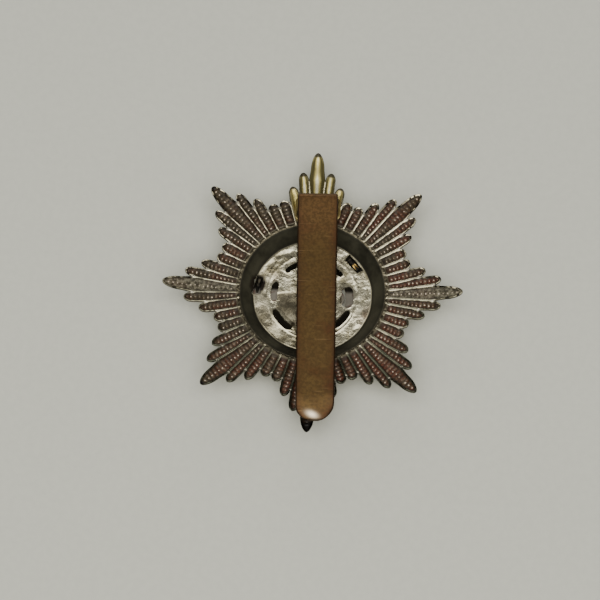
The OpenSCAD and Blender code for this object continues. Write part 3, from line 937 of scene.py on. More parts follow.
def star_surface(settings):
    """Top and under side of the whole star as one sheet, its faces and its colour fields.

    The reverse is the dish less a trough, U-shaped between flat-topped crests, and less the beads;
    the front is the same sheet with rounded ridges and raised beads.
    """
    rays = star_rays(settings)
    start = 0
    quads = []
    for ray in rays:
        index = np.arange(ray["r"].size).reshape(ray["r"].shape) + start
        quads.append(grid_faces(index))
        start += ray["r"].size
    field = {n: np.concatenate([ray[n].ravel() for ray in rays]) for n in rays[0]}
    root_angles = np.concatenate([ray["angle"][0, :-1] for ray in rays]) % 360.0

    # rings inside the rays: one full ring, then rings with every second point
    half_angles = root_angles[::2]
    rows = pan_rows()
    nominal = np.repeat(rows[:, None], len(half_angles), 1)
    ring_angle = np.repeat(half_angles[None], len(rows), 0)
    ring_r = pan_warp(nominal, ring_angle)
    root_index = start + np.arange(len(root_angles))
    full_index = root_index[-1] + 1 + np.arange(len(root_angles))
    half_index = full_index[-1] + 1 + np.arange(nominal.size).reshape(nominal.shape)
    pole = half_index[-1, -1] + 1
    full_ring = np.full(len(root_angles), COLLAR_R)
    pan_r = np.concatenate([np.full_like(full_ring, ROOT_R), full_ring, ring_r.ravel(), [0.0]])
    pan_a = np.concatenate([root_angles, root_angles, ring_angle.ravel(), [0.0]])

    quads.append(grid_faces(np.stack([full_index, root_index]), closed_columns=True))
    pan_quads = grid_faces(half_index, closed_columns=True)
    quads.append(pan_quads[~open_cells(rows, half_angles).ravel()])
    o0, o1, o2 = full_index[::2], full_index[1::2], np.roll(full_index[::2], -1)
    i0, i2 = half_index[-1], np.roll(half_index[-1], -1)
    tris = [np.stack(t, -1) for t in ((o0, o1, i0), (o1, o2, i2), (o1, i2, i0))]
    tris.append(fan_faces(pole, half_index[0]))

    # the pan's points have no ray: far from any edge, no trough and no beads
    fill = {"q": 5.0, "q_free": 5.0, "half": 0.6, "reach": 0.4, "tip": 12.0, "side": 1.0}
    r = np.concatenate([field.pop("r"), pan_r])
    angle = np.concatenate([field.pop("angle"), pan_a])
    for n, value in field.items():
        field[n] = np.concatenate([value, np.full(len(pan_r), fill.get(n, 0.0))])
    plan = polar(r, angle)
    back, first = weld(plan)
    faces = drop_flat(back[np.vstack(quads)])
    faces[1] = np.vstack([faces[1], back[np.vstack(tris)]])
    field = {n: v[first] for n, v in field.items()}
    return shape_star(settings, r[first], angle[first] % 360.0, plan[first], field) + (faces,)


def top_five(angle, tip):
    """1 for the five smooth rays over the slider's braze: the top ray and two on each side."""
    away = np.abs(turn_between(angle, 90.0))
    return ((away < 15.4) & (tip > SHORT[0] + 0.5)).astype(float)


def trough_shape(q, half, offset, flooded):
    """Share of the trough's depth: U-shaped with flat-topped crests, or round where spelter will run."""
    square = smooth(0.07, np.minimum(0.46, 0.75 * half), q)
    round_one = 1.0 - np.clip(np.abs(offset) / np.maximum(half, 0.05), 0.0, 1.0) ** 2
    return square * (1.0 - flooded) + round_one * smooth(0.0, 0.5, q) * flooded


def rough_field(x, y):
    """Fine roughness from -1 to 1, of two sizes of grain."""
    return lattice(x, y, 0.33, 2.0) * 0.6 + lattice(x, y, 0.17, 3.0) * 0.4


def pan_marks(r, angle, x, y, rough):
    """Fields of the pan: floor, wall, wall's foot with its painted shade, the step round the disc, burrs on
    the arcs with their painted highlight, painted shade round the slots, and the floor's darkening.
    """
    inner_r, outer_r = pierced_edges(angle)
    gap = np.minimum(np.abs(r - inner_r), np.abs(r - outer_r))
    foot = FLOOR_R - 0.14 + 0.04 * lattice(angle, r * 0, 9.0, 14.0)
    climb = smooth(foot - 0.12, foot + 0.12, r)
    wall = climb * (1.0 - smooth(RIM_R + 0.02, RIM_R + 0.2, r))
    dirt = 0.0
    for place_r, place_a, wide_r, wide_a in SLOT_SHADE:
        off = ((r - place_r) / wide_r) ** 2 + (turn_between(angle, place_a) / wide_a) ** 2
        dirt = np.maximum(dirt, 1.0 - smooth(0.75, 1.35, off + 0.25 * rough))
    return {
        "pan": 1.0 - climb, "wall": wall, "dirt": dirt,
        # Painted shade in the corner at the wall's foot and towards the rim
        "wall_foot": 0.7 * np.exp(-((r - foot - 0.15) / 0.22) ** 2) + 0.5 * smooth(10.5, 11.0, r) * wall,
        "step": np.exp(-((r - STEP_R - 0.05 * lattice(angle, r * 0, 20.0, 8.0)) / 0.12) ** 2),
        # Raised burrs round the arcs, which also carry their painted highlight
        "burr": np.exp(-(gap / 0.16) ** 2) * (1.0 - smooth(1.0, 1.12, arc_share(angle))),
        "film": pan_darkening(r, x, y),
    }


def pan_darkening(r, x, y):
    """Darkening of the floor: a painted dark reflection over the left half of the disc below a slanting
    line, and two darker patches further left.
    """
    line = y - 0.2 * x - 1.3 + 0.15 * lattice(x, y, 0.8, 61.0)
    film = (1.0 - smooth(5.4, 5.7, r)) * smooth(0.2, -0.2, line)
    film *= smooth(0.6, -0.6, x)
    film = np.maximum(film, 0.5 * smooth(-6.8, -7.8, x) * (1.0 - smooth(2.0, 4.5, np.abs(y))))
    return np.maximum(film, 0.55 * smooth(-5.0, -7.5, x + 0.5 * y) * smooth(6.6, 7.2, r))


def hammered_floor(x, y):
    """Unevenness of the floor: noise of two sizes on turned axes, less a few long dents."""
    u, v = 0.8 * x - 0.6 * y, 0.6 * x + 0.8 * y
    height = lattice(u, v, 2.3, 6.0) * 1.1 + lattice(v, u, 1.0, 7.0) * 0.3
    for dent_x, dent_y, size, heading in DENTS:
        c, d = math.cos(math.radians(heading)), math.sin(math.radians(heading))
        along = (x - dent_x) * c + (y - dent_y) * d
        aside = (y - dent_y) * c - (x - dent_x) * d
        height -= 1.5 * np.exp(-(along / size) ** 2 - (aside / (0.45 * size)) ** 2)
    return height


def under_side(x, y, r, angle, field, bead_depth, lip, on_ray):
    """Front of the sheet: set off by its thickness square to the wall, with rounded ridges and beads."""
    slope = pan_slope(np.minimum(r, ROOT_R + 1.0)) * (1.0 - on_ray)
    lean = 1.0 / np.sqrt(1.0 + slope ** 2)
    under_r = r + SHEET_T * slope * lean
    scale = np.where(r > 1e-6, under_r / np.maximum(r, 1e-6), 1.0)
    ridge = 1.0 - (1.0 - np.clip(field["q"] / np.maximum(field["half"], 0.05), 0.0, 1.0)) ** 2
    level = pan_level(np.minimum(r, ROOT_R)) + dish(r, angle) - SHEET_T * lean
    z = level - field["depth"] * ridge - 1.1 * bead_depth * field["bead"] + 0.05 * lip
    return np.column_stack([x * scale, y * scale, z])


def shape_star(settings, r, angle, plan, field):
    """Heights of both sides of the star, and the fields that colour it."""
    x, y = plan[:, 0], plan[:, 1]
    q_free, tip = field["q_free"], field["tip"]
    flooded = top_five(angle, tip)
    trough = trough_shape(field["q"], field["half"], field["offset"], flooded)
    side_ray = smooth(0.975, 0.995, np.abs(np.cos(np.radians(angle)))) * smooth(0.0, 0.2, tip - 22.0)
    on_ray = smooth(RIM_R + 0.1, 11.7, r)
    band = smooth(10.9, 11.0, r) * (1.0 - smooth(11.4, 11.85, r))
    lip = 1.0 - smooth(0.0, 0.1, q_free)
    rough = rough_field(x, y)
    marks = pan_marks(r, angle, x, y, rough)

    ray_number = field["kind"] + field["side"] * np.round(angle / OCTANT)
    spread = hashed(np.floor(field["number"]), ray_number, 4.0)
    full_depth = settings.bead_depth / MM
    bead_depth = full_depth * (0.8 + 0.4 * spread) * (1.0 - 0.65 * side_ray)
    bead = field["bead"] * (1.0 - flooded)
    level = pan_level(np.minimum(r, ROOT_R)) + dish(r, angle)
    top_z = level - field["depth"] * trough - bead_depth * bead * 0.9 - 0.06 * lip
    top_z += 0.05 * band * rough + 0.045 * marks.pop("step")
    top_z += settings.hammering / MM * marks["pan"] * hammered_floor(x, y) + 0.05 * marks["burr"]
    top = np.column_stack([x, y, top_z])
    under = under_side(x, y, r, angle, field, full_depth, lip, on_ray)

    warmth = 0.45 - 0.02 * y + 0.010 * x + 0.3 * lattice(x, y, 3.0, 11.0) - 0.6 * side_ray
    warmth -= 0.35 * smooth(17.0, 21.0, r)
    # Near-black tips, the first of them the painted shadow of the slider
    black = sum(np.exp(-((x - px) ** 2 + (y - py) ** 2) / size) for px, py, size in BLACK_TIPS)
    thin = 0.07 * (1.0 - smooth(-6.0, 8.0, x)) - 0.05 * smooth(0.0, -9.0, y) - 0.04 * side_ray
    thin -= 0.1 * smooth(0.6, 0.3, q_free) * (1.0 - flooded)
    values = {
        "edge_gap": field["q"] + thin, "free_gap": q_free,
        "across": field["offset"], "reach": field["reach"],
        "bead_at": field["number"], "bead_live": field["live"] * (1.0 - flooded),
        "band": np.maximum(band, smooth(11.35, 11.45, r) * (1.0 - smooth(11.6, 12.0, r))),
        "on_ray": smooth(11.5, 11.85, r), "flooded": flooded * on_ray,
        "gold": flooded * smooth(0.0, 0.5, trough) * smooth(11.6, 12.4, r) * smooth(0.3, 0.55, tip - r),
        "glint": field["glint"] * (0.3 + 0.5 * smooth(-12.0, 2.0, y)),
        "black": np.clip(1.6 * black, 0, 1), "warmth": np.clip(warmth, 0, 1), "pale": side_ray,
        # Painted shade on the crests, growing towards the lower side, with random patches
        "dull": np.clip(0.45 - 0.05 * y + 0.3 * lattice(x, y, 2.2, 12.0), 0.0, 1.0) * on_ray,
    }
    return top, under, values | marks


# ---------------------------------------------------------------- strips

def walk(stretches, start, heading, step):
    """Path of a bent strip: stretches of (length, turn in degrees) walked from start along heading.

    The heading turns evenly within a stretch; places are the running sum of short chords.
    """
    turns, chords = [], []
    for stretch, turn in stretches:
        count = max(2, round(stretch / step)) if turn == 0 else max(6, round(abs(turn) / 7.5))
        rate = turn / count
        turns.append(heading + rate * (np.arange(count) + 0.5))
        chords.append(np.full(count, stretch / count * np.sinc(math.radians(rate) / 2 / math.pi)))
        heading += turn
    turns, chords = np.radians(np.concatenate(turns)), np.concatenate(chords)
    steps = np.stack([chords * np.cos(turns), chords * np.sin(turns)], -1)
    path = np.vstack([[start], start + np.cumsum(steps, 0)])
    middle = np.concatenate([[turns[0]], (turns[1:] + turns[:-1]) / 2, [turns[-1]]])
    return path, middle


def strip_section(half_low, half_high, half_t, corner, across=9, arc=4):
    """Cross-sections of a strip, one a row: rectangles from -half_low to half_high, corners rounded."""
    radius = np.minimum(corner, half_t * 0.98)[:, None]
    t = np.radians(np.linspace(0.0, 90.0, arc + 1))[None]
    flat = np.linspace(0.0, 1.0, across + 2)[1:-1][None]
    high, low, up = half_high[:, None], -half_low[:, None], half_t[:, None]

    def corner_arc(x, z, begin):
        angle = t + math.radians(begin)
        return x + radius * np.cos(angle), z + radius * np.sin(angle)

    parts = [
        corner_arc(high - radius, up - radius, 0.0),
        ((high - radius) * (1 - flat) + (low + radius) * flat, up + 0 * flat),
        corner_arc(low + radius, up - radius, 90.0),
        corner_arc(low + radius, -up + radius, 180.0),
        ((low + radius) * (1 - flat) + (high - radius) * flat, -up + 0 * flat),
        corner_arc(high - radius, -up + radius, 270.0),
    ]
    return np.hstack([p[0] for p in parts]), np.hstack([p[1] for p in parts])


def strip_solid(path, heading, side, lift):
    """Carries cross-sections (side, lift) along a path in the Y-Z plane and closes both ends with a fan."""
    nz = np.stack([-np.sin(heading), np.cos(heading)], -1)
    y = path[:, :1] + lift * nz[:, :1]
    z = path[:, 1:] + lift * nz[:, 1:]
    points = np.stack([side, y, z], -1)
    rows, count = side.shape
    index = np.arange(rows * count).reshape(rows, count)
    ends = np.stack([points[0].mean(0), points[-1].mean(0)])
    flat = np.vstack([points.reshape(-1, 3), ends])
    first_end = fan_faces(rows * count, index[0])
    last_end = fan_faces(rows * count + 1, index[-1], flip=True)
    return flat, [grid_faces(index, closed_columns=True), np.vstack([first_end, last_end])]


# ---------------------------------------------------------------- operators

class BADGE_OT_star(bpy.types.Operator):
    """Makes the struck star plate with its rays, beads, pan, pierced arcs and slots"""
    bl_idname = "badge.star"
    bl_label = "Star plate"

    def execute(self, context):
        scene = context.scene
        top, under, values, faces = star_surface(scene.badge_star)
        points, faces, rim_points = close_sheet(top, under, faces)
        whole = {k: np.concatenate([v, v, v[rim_points]]) for k, v in values.items()}
        whole["front"] = np.repeat([0.0, 1.0, 0.5], [len(top), len(top), len(rim_points)])
        piece = put_mesh("struck_star", points, faces, ("star_plate",), whole, 50.0)
        piece.data.materials.append(star_finish(scene.badge_metal))
        return {"FINISHED"}


def lean_over(points):
    """Turns points by the slider's lean about the middle of its top edge, and shifts them to its place."""
    lean = math.radians(SLIDER_LEAN)
    x, y = points[:, 0].copy(), points[:, 1] - SLIDER_TOP_Y
    points[:, 0] = SLIDER_SHIFT_X + x * math.cos(lean) - y * math.sin(lean)
    points[:, 1] = SLIDER_TOP_Y + x * math.sin(lean) + y * math.cos(lean)


def slider_path(thick):
    """Middle line of the slider in the Y-Z plane: curved free end, long flat, fold, and foot beneath."""
    fold = SLIDER_FOLD_R - thick / 2
    flat_start = SLIDER_LOW_Y + SLIDER_CURVED_END
    mid_z = SLIDER_TOP_Z - thick / 2
    foot_mid_z = RIM_Z + FOOT_GAP + thick / 2
    bends = [(1.2, -16.0), (1.3, -10.0), (1.6, -6.0)]
    bend_turn = -sum(turn for _, turn in bends)
    free_path, _ = walk(bends, np.zeros(2), bend_turn, 0.22)
    start = np.array([flat_start, mid_z]) - free_path[-1]
    stretches = bends + [
        (SLIDER_TOP_Y - SLIDER_FOLD_R - flat_start, 0.0),
        (fold * math.pi / 2, -90.0),
        (max(mid_z - foot_mid_z - 2 * fold, 0.02), 0.0),
        (fold * math.pi / 2, -90.0),
        (SLIDER_FOOT - SLIDER_FOLD_R, 0.0),
    ]
    return walk(stretches, start, bend_turn, 0.22)


def rounding(gap, radius):
    """How far a rounded corner draws a side in: radius - sqrt(radius^2 - gap^2), gap into the corner."""
    gap = np.clip(gap, 0.0, radius)
    return radius - np.sqrt(np.maximum(radius ** 2 - gap ** 2, 0.0))


class BADGE_OT_slider(bpy.types.Operator):
    """Makes the slider: one strip with a domed free end, folded back under itself as a foot"""
    bl_idname = "badge.slider"
    bl_label = "Slider"

    def execute(self, context):
        settings = context.scene.badge_slider
        thick = settings.thickness / MM
        end_round, top_corner, left_corner, right_corner = 0.45, 0.35, 2.0, 2.8
        path, heading = slider_path(thick)
        y = path[:, 0]
        taper = (y - SLIDER_LOW_Y) / (SLIDER_TOP_Y - SLIDER_LOW_Y)
        half = (settings.end_width * (1 - taper) + settings.top_width * taper) / MM / 2
        gap = np.clip(1.0 - (y - y[0]) / end_round, 0.0, 1.0)
        half_t = thick / 2 * np.sqrt(np.maximum(1.0 - gap ** 2, 0.02))
        top_round = rounding(y - (SLIDER_TOP_Y - top_corner), top_corner)
        left = half - rounding(SLIDER_LOW_Y + 0.2 + left_corner - y, left_corner) - top_round
        right = half - rounding(SLIDER_LOW_Y + right_corner - y, right_corner) - top_round
        side, lift = strip_section(left, right, half_t, np.full_like(half, settings.corner / MM), 13)

        # the free end is domed like a spoon, and the outer face is faintly uneven
        spoon = smooth(SLIDER_LOW_Y + 4.0, SLIDER_LOW_Y + 0.2, y)[:, None]
        lift = lift - 0.55 * spoon * np.abs((side + 0.35) / half[:, None]) ** 2.0
        on_top = (lift > 0) & (y[:, None] < SLIDER_TOP_Y - SLIDER_FOLD_R)
        lift = lift + on_top * 0.012 * lattice(side, y[:, None] + side * 0, 2.3, 21.0)
        points, faces = strip_solid(path, heading, side, lift)
        lean_over(points)
        points[:, 2] = np.minimum(points[:, 2], SLIDER_TOP_Z)
        values = self.marks(y, side, left, right)
        piece = put_mesh("slider_strip", points, faces, ("slider",), values, 40.0)
        piece.data.materials.append(strip_finish(context.scene.badge_metal))
        return {"FINISHED"}

    def marks(self, y, side, left, right):
        """Colour fields, each with a value more for the middle of either end."""
        edge_gap = np.minimum(right[:, None] - side, side + left[:, None])
        end_gap = np.minimum(SLIDER_TOP_Y - y, y - y[0])[:, None]
        # Painted shade: redder towards the long edges and, with top_red, towards the fold
        edge = 0.6 * (1.0 - smooth(0.2, 1.7, edge_gap)) + 0.4 * (1.0 - smooth(0.05, 0.6, edge_gap))
        top_red = smooth(SLIDER_TOP_Y - 2.2, SLIDER_TOP_Y - 0.4, y)[:, None]
        # Painted highlight near the free end, a little left of the middle
        tip_highlight_y = (y[:, None] - SLIDER_LOW_Y - 0.95 + 0.25 * (side + 0.4)) / 0.42
        tip_highlight = np.exp(-((side + 0.4) / 0.8) ** 2 - tip_highlight_y ** 2)
        # Painted shade along the rim of the faces and the ends
        rim = 1.0 - smooth(0.1, 0.38, np.minimum(edge_gap, end_gap))
        high = smooth(5.0, 12.5, y)[:, None] + 0 * side
        return {"edge": np.append(np.clip(edge + 0.6 * top_red, 0, 1).ravel(), [1, 1]),
                "tip_highlight": np.append(tip_highlight.ravel(), [0, 0]),
                "rim": np.append(rim.ravel(), [1, 1]),
                "high": np.append(high.ravel(), [0, 0])}


def petal_angle(angle, petals):
    """Angle in radians from the middle of the nearest petal."""
    return np.radians(((angle + 180.0 / petals) % (360.0 / petals)) - 180.0 / petals)


def rosette_radius(angle, petals, ring=3.7, petal=1.28):
    """Outline of the rosette: the outer of a circle and of the petals' own circles."""
    delta = petal_angle(angle, petals)
    inside = petal ** 2 - (ring * np.sin(delta)) ** 2
    return np.maximum(ring, ring * np.cos(delta) + np.sqrt(np.maximum(inside, 0.0)))


def turned_solid(profile, count, bend=None):
    """A closed profile of (radius, height) rows turned round Z; bend may move the points of each column."""
    angle = np.linspace(0.0, 360.0, count, endpoint=False)
    r = np.repeat(profile[:, :1], count, 1)
    z = np.repeat(profile[:, 1:], count, 1)
    a = np.repeat(angle[None], len(profile), 0)
    if bend:
        r, z = bend(r, z, a)
    xy = polar(r, a)
    points = np.dstack([xy, z]).reshape(-1, 3)
    return points, grid_faces(np.arange(r.size).reshape(r.shape), closed_rows=True, closed_columns=True)


def disc_solid(front, back, outline, rings, count):
    """A closed lens between two heights of (radius, angle), inside an outline of radius by angle."""
    angle = np.linspace(0.0, 360.0, count, endpoint=False)
    share = np.linspace(0.0, 1.0, rings + 1)[1:] ** 0.85
    a = np.repeat(angle[None], rings, 0)
    r = share[:, None] * outline(angle)[None]
    plan = polar(r, a)
    middle = np.zeros((1, 1))
    sides = [np.dstack([plan, height(r, a)]).reshape(-1, 3) for height in (front, back)]
    poles = np.array([[0.0, 0.0, height(middle, middle)[0, 0]] for height in (front, back)])
    points = np.vstack(sides + [poles])
    index = np.arange(r.size).reshape(r.shape)
    upper = index + r.size
    edge = np.stack([index[-1], upper[-1]])
    faces = [
        grid_faces(index, closed_columns=True)[:, ::-1],
        grid_faces(upper, closed_columns=True),
        grid_faces(edge, closed_columns=True)[:, ::-1],
        np.vstack([fan_faces(2 * r.size, index[0], flip=True), fan_faces(2 * r.size + 1, upper[0])]),
    ]
    return points, faces


def joined(solids):
    """Several solids as one: points one after another, faces counted on."""
    points, faces, start = [], [], 0
    for some_points, some_faces in solids:
        points.append(some_points)
        faces += [f + start for f in some_faces]
        start += len(some_points)
    return np.vstack(points), faces


class BADGE_OT_circlet(bpy.types.Operator):
    """Makes the circlet on the front: a plain sunk band between two roped borders"""
    bl_idname = "badge.circlet"
    bl_label = "Circlet"

    def execute(self, context):
        turns = context.scene.badge_centre.rope_count
        low, high, border = CIRCLET_LOW_R, CIRCLET_HIGH_R, CIRCLET_BORDER
        sunk, groove, edge_levels = 0.18, 0.2, [0.25, 0.5, CENTRE_BACK_Z]
        band = np.linspace(low + border, high - border, 9)
        inner_rope = np.linspace(low, low + border, 9)
        outer_rope = np.linspace(high - border, high, 9)
        front = np.concatenate([inner_rope, band[1:-1], outer_rope])
        shelf = np.linspace(high, low, 7)[1:-1]
        profile = np.vstack([
            np.column_stack([front, np.full(len(front), sunk)]),
            np.column_stack([np.full(3, high), edge_levels]),
            np.column_stack([shelf, np.full(len(shelf), CENTRE_BACK_Z)]),
            np.column_stack([np.full(3, low), edge_levels[::-1]]),
        ])

        def rope(r, z, angle):
            """Height of the borders: a half-round across, deepened by a cosine that turns round the ring."""
            middle = np.where(r < (low + high) / 2, low + border / 2, high - border / 2)
            u = np.clip((r - middle) / (border / 2), -1.0, 1.0)
            dome = np.sqrt(1.0 - u ** 2)
            twist = 0.5 + 0.5 * np.cos(np.radians(angle) * turns + 2.2 * u)
            roped = groove - groove * dome * (0.72 + 0.28 * twist)
            return r, np.where((z < groove) & (dome > 0), roped, z)

        points, faces = turned_solid(profile[::-1], 720, rope)
        piece = put_mesh("circlet_ring", points, [faces], ("circlet",), None, 50.0)
        piece.data.materials.append(gilt_finish("gilt_circlet", context.scene.badge_metal))
        return {"FINISHED"}


class BADGE_OT_rosette(bpy.types.Operator):
    """Makes the centre of the front: a plain petalled rosette with a domed button, and its two stems"""
    bl_idname = "badge.rosette"
    bl_label = "Rosette and stems"

    def execute(self, context):
        petals = context.scene.badge_centre.petal_count
        button = 1.9

        def front(r, angle):
            """Height of the front: a domed button, then cupped petals with a raised vein and a rim."""
            outline = rosette_radius(angle, petals)
            delta = petal_angle(angle, petals)
            vein = np.exp(-(r * np.sin(delta) / 0.12) ** 2) * smooth(2.3, 3.0, r)
            cup = 0.34 - 0.14 * np.sin(np.clip((r - button) / (outline - button), 0, 1) * math.pi)
            dip = 0.2 * (1.0 - np.abs(np.cos(delta * petals / 2)) ** 0.5) * smooth(button, 3.2, r)
            leaf = cup + dip + 0.05 * vein + 0.12 * smooth(outline - 0.35, outline, r)
            dome = 0.06 + 0.3 * (1.0 - np.sqrt(np.maximum(1.0 - (r / button) ** 2, 0.0)))
            return np.where(r < button, dome, leaf)

        def back(r, angle):
            return np.full(np.broadcast(r, angle).shape, CENTRE_BACK_Z)

        points, faces = disc_solid(front, back, lambda a: rosette_radius(a, petals), 34, 256)
        piece = put_mesh("front_rosette", points, faces, ("centre_rosette",), None, 50.0)
        piece.data.materials.append(gilt_finish("gilt_rosette", context.scene.badge_metal))
        # profile of a stem, (radius, height), its end spread like a rivet
        stem = np.array([[0.02, 0.8], [0.6, 0.8], [0.6, 1.28], [0.72, 1.3], [0.84, 1.32], [0.83, 1.37],
                         [0.72, 1.41], [0.45, 1.44], [0.2, 1.445], [0.02, 1.445]])
        points, faces = turned_solid(stem[::-1], 48)
        stems = [(points + np.array([0.0, y, 0.0]), [faces[:, ::-1]]) for y in (-2.6, 2.6)]
        points, faces = joined(stems)
        piece = put_mesh("rosette_stems", points, faces, ("rosette_posts",), None, 40.0)
        piece.data.materials.append(plain_finish("stem_brass", STEM_BRASS, STEM_FILM, 0.38))
        return {"FINISHED"}


class BADGE_OT_tangs(bpy.types.Operator):
    """Makes the circlet's three tangs: two torn stubs in their slots and one folded over inwards"""
    bl_idname = "badge.tangs"
    bl_label = "Tangs"

    def execute(self, context):
        solids, bright = [], []
        for index, (radius, angle, _) in enumerate(SLOTS):
            folded, shows_brass = index == FOLDED_SLOT, index == BRIGHT_SLOT
            rise = FLOOR_Z + 0.26 - CIRCLET_BACK_Z if folded else SHEET_T - 0.1
            stretches = [(rise, 0.0)]
            if folded:
                stretches += [(0.24 * math.pi / 2, 90.0), (0.95, 0.0)]
            path, heading = walk(stretches, np.array([radius, CIRCLET_BACK_Z]), 90.0, 0.06)
            half = np.full(len(path), 1.1)
            half_t = 0.2 + shows_brass * 0.17 * smooth(0.3, 0.5, path[:, 1] - CIRCLET_BACK_Z)
            side, lift = strip_section(half, half, half_t, np.full(len(path), 0.07), 15, 2)
            points, faces = strip_solid(path, heading, side, lift)
            torn = smooth(0.5, 1.0, (points[:, 2] - CIRCLET_BACK_Z) / max(rise, 0.1)) * (not folded)
            points[:, 2] += torn * 0.12 * lattice(points[:, 0], points[:, 1] * 0.0, 0.33, 30.0 + index)
            bright.append(torn * shows_brass * np.exp(-((points[:, 0] - 0.5) / 0.5) ** 2))
            turn = math.radians(angle)
            x, y = points[:, 0].copy(), points[:, 1].copy()
            points[:, 0] = y * math.cos(turn) + x * math.sin(turn)
            points[:, 1] = y * math.sin(turn) - x * math.cos(turn)
            solids.append((points, faces))
        points, faces = joined(solids)
        values = {"bright": np.concatenate(bright)}
        piece = put_mesh("circlet_tang_set", points, faces, ("circlet_tangs",), values, 40.0)
        piece.data.materials.append(tang_finish())
        return {"FINISHED"}


class BADGE_OT_brazing(bpy.types.Operator):
    """Makes the spelter: a fillet round the slider's foot and a run along each of the five top troughs"""
    bl_idname = "badge.brazing"
    bl_label = "Brazing"

    def execute(self, context):
        scene = context.scene
        foot = RIM_Z + FOOT_GAP
        half_x, half_y, centre_y = 3.12, 1.7, 13.75
        reach, power = 0.42, 5.0

        def outline(angle):
            """Radius of a slightly ragged super-ellipse round the foot's rectangle."""
            a = np.radians(angle)
            across = (np.abs(np.cos(a)) / (half_x + reach)) ** power
            along = (np.abs(np.sin(a)) / (half_y + reach)) ** power
            return (across + along) ** (-1 / power) * (1.0 + 0.03 * lattice(angle, a * 0, 17.0, 41.0))

        def top(r, angle):
            """Height of the fillet: flat under the foot, then a hollow that falls away to the outline."""
            gap = outline(angle) - r
            climb = np.clip(1.0 - gap / reach, 0.0, 1.0)
            fillet = foot + 0.34 - 0.42 * (1.0 - (1.0 - climb) ** 2)
            return np.where(gap > reach, foot - 0.02, fillet)

        def under(r, angle):
            return np.full(r.shape, RIM_Z - 0.22)

        points, faces = disc_solid(under, top, outline, 26, 160)
        points[:, 1] += centre_y
        lean_over(points)
        piece = put_mesh("foot_braze", points, faces, ("slider_braze",), None, 50.0)
        piece.data.materials.append(plain_finish("braze_spelter", BRAZE_YELLOW, BRAZE_FILM, 0.34))
        points, faces, values = spelter_runs(scene.badge_star)
        piece = put_mesh("trough_spelter", points, faces, ("spelter_flood",), values, 60.0)
        piece.data.materials.append(spelter_finish(scene.badge_metal))
        return {"FINISHED"}


def spelter_runs(settings):
    """Five thin closed skins of spelter that lie in the top troughs, thickest along their middle."""
    solids, shares, from_tip = [], [], []
    root_level = pan_level(np.full(1, ROOT_R))[0]
    for ray in star_rays(settings):
        if not top_five(ray["angle"], ray["tip"]).all():
            continue
        ray_r = ray["r"][:, 0]
        keep_rows = (ray_r > 12.25) & (ray_r < ray["tip"][0, 0] - 0.3)
        part = {k: v[keep_rows][:, 1:-1] for k, v in ray.items()}
        trough = trough_shape(part["q"], part["half"], part["offset"], np.ones_like(part["r"]))
        base = root_level + dish(part["r"], part["angle"]) - part["depth"] * trough
        share = part["offset"] / np.maximum(part["half"], 0.05)
        skin = 0.045 * (1.0 - share ** 2) + 0.012
        lumps = 0.05 * smooth(14.5, 16.0, part["r"]) * lattice(part["r"], part["angle"], 1.6, 50.0)
        lumpiness = 1.0 if part["angle"].mean() < 90.0 else 0.25
        upper = base + skin + lumps * lumpiness * (1.0 - share ** 2)
        plan = polar(part["r"], part["angle"])
        top = np.dstack([plan, upper]).reshape(-1, 3)
        under = np.dstack([plan, base - 0.03]).reshape(-1, 3)
        quads = grid_faces(np.arange(top.shape[0]).reshape(upper.shape))
        quads = quads[:, ::-1] if part["side"][0, 0] < 0 else quads
        points, faces, rim_points = close_sheet(top, under, [quads], 0.0)
        solids.append((points, faces))
        for store, value in ((shares, share), (from_tip, part["tip"] - part["r"])):
            flat = value.ravel()
            store.append(np.concatenate([flat, flat, flat[rim_points]]))
    points, faces = joined(solids)
    return points, faces, {"share": np.concatenate(shares), "from_tip": np.concatenate(from_tip)}


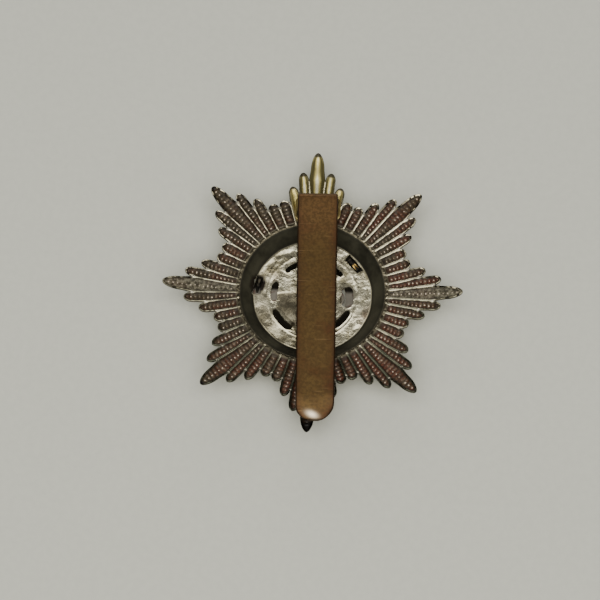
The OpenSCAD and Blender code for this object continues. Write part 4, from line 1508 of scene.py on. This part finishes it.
class BADGE_OT_stage(bpy.types.Operator):
    """Makes the floor, the softboxes, the dim surroundings and the camera"""
    bl_idname = "badge.stage"
    bl_label = "Floor, lights and camera"

    def execute(self, context):
        scene = context.scene
        settings = scene.badge_stage
        half, drop = 0.9, 2e-5
        corners = [(-half, -half, -drop), (half, -half, -drop), (half, half, -drop), (-half, half, -drop)]
        mesh = bpy.data.meshes.new("floor")
        mesh.from_pydata(corners, [], [(0, 1, 2, 3)])
        mesh.materials.append(floor_finish(settings.floor))
        floor = bpy.data.objects.new("floor", mesh)
        scene.collection.objects.link(floor)
        self.softbox("key", (0.0, -0.22, 0.65), (1.1, 0.92), settings.key_power, (1.0, 0.975, 0.90))
        self.softbox("low", (-0.1, 0.80, 0.36), (0.8, 0.3), settings.low_power, (1.0, 0.98, 0.93))
        scene.world = bpy.data.worlds.new("surroundings")
        scene.world.use_nodes = True
        background = scene.world.node_tree.nodes["Background"]
        background.inputs["Color"].default_value = (1.0, 0.98, 0.92, 1.0)
        background.inputs["Strength"].default_value = 0.12
        self.camera(scene, settings)
        return {"FINISHED"}

    def camera(self, scene, settings):
        """The camera, aimed at the middle of the pan's rim from an azimuth, an elevation and a distance."""
        data = bpy.data.cameras.new("camera")
        camera = bpy.data.objects.new("camera", data)
        scene.collection.objects.link(camera)
        target = Vector((0.0, 0.0, RIM_Z * MM))
        a, e = settings.azimuth, settings.elevation
        back = Vector((math.sin(a) * math.cos(e), -math.cos(a) * math.cos(e), math.sin(e)))
        camera.location = target + back * settings.distance
        camera.rotation_mode = "QUATERNION"
        camera.rotation_quaternion = (-back).to_track_quat("-Z", "Y")
        data.lens = settings.lens
        data.shift_x, data.shift_y = -0.0208, -0.0150
        data.clip_start, data.clip_end = 0.01, 10.0
        scene.camera = camera

    def softbox(self, name, place, size, power, tone):
        """A rectangular softbox that faces the badge."""
        data = bpy.data.lights.new(name, "AREA")
        data.shape = "RECTANGLE"
        data.size, data.size_y = size
        data.energy = power
        data.color = tone
        lamp = bpy.data.objects.new(name, data)
        lamp.location = place
        lamp.rotation_mode = "QUATERNION"
        lamp.rotation_quaternion = (-Vector(place)).to_track_quat("-Z", "Y")
        bpy.context.scene.collection.objects.link(lamp)


class BADGE_PT_panel(bpy.types.Panel):
    """Lists the badge's operators"""
    bl_label = "Star Cap Badge"
    bl_idname = "BADGE_PT_panel"
    bl_space_type = "VIEW_3D"
    bl_region_type = "UI"
    bl_category = "Badge"

    def draw(self, context):
        for operator in OPERATORS:
            self.layout.operator(operator.bl_idname)


OPERATORS = (BADGE_OT_star, BADGE_OT_circlet, BADGE_OT_tangs, BADGE_OT_rosette, BADGE_OT_slider,
             BADGE_OT_brazing, BADGE_OT_stage)
GROUPS = {"badge_star": StarSettings, "badge_slider": SliderSettings, "badge_centre": CentreSettings,
          "badge_metal": MetalColours, "badge_stage": StageSettings}


def register():
    """Registers the settings on the scene, the operators and the panel."""
    for group in GROUPS.values():
        bpy.utils.register_class(group)
    for name, group in GROUPS.items():
        setattr(bpy.types.Scene, name, PointerProperty(type=group))
    for item in OPERATORS + (BADGE_PT_panel,):
        bpy.utils.register_class(item)


def unregister():
    """Takes back what register did."""
    for item in reversed(OPERATORS + (BADGE_PT_panel,)):
        bpy.utils.unregister_class(item)
    for name in GROUPS:
        delattr(bpy.types.Scene, name)
    for group in reversed(list(GROUPS.values())):
        bpy.utils.unregister_class(group)


def main():
    register()
    bpy.ops.badge.star()
    bpy.ops.badge.circlet()
    bpy.ops.badge.tangs()
    bpy.ops.badge.rosette()
    bpy.ops.badge.slider()
    bpy.ops.badge.brazing()
    bpy.ops.badge.stage()


if __name__ == "__main__":
    main()
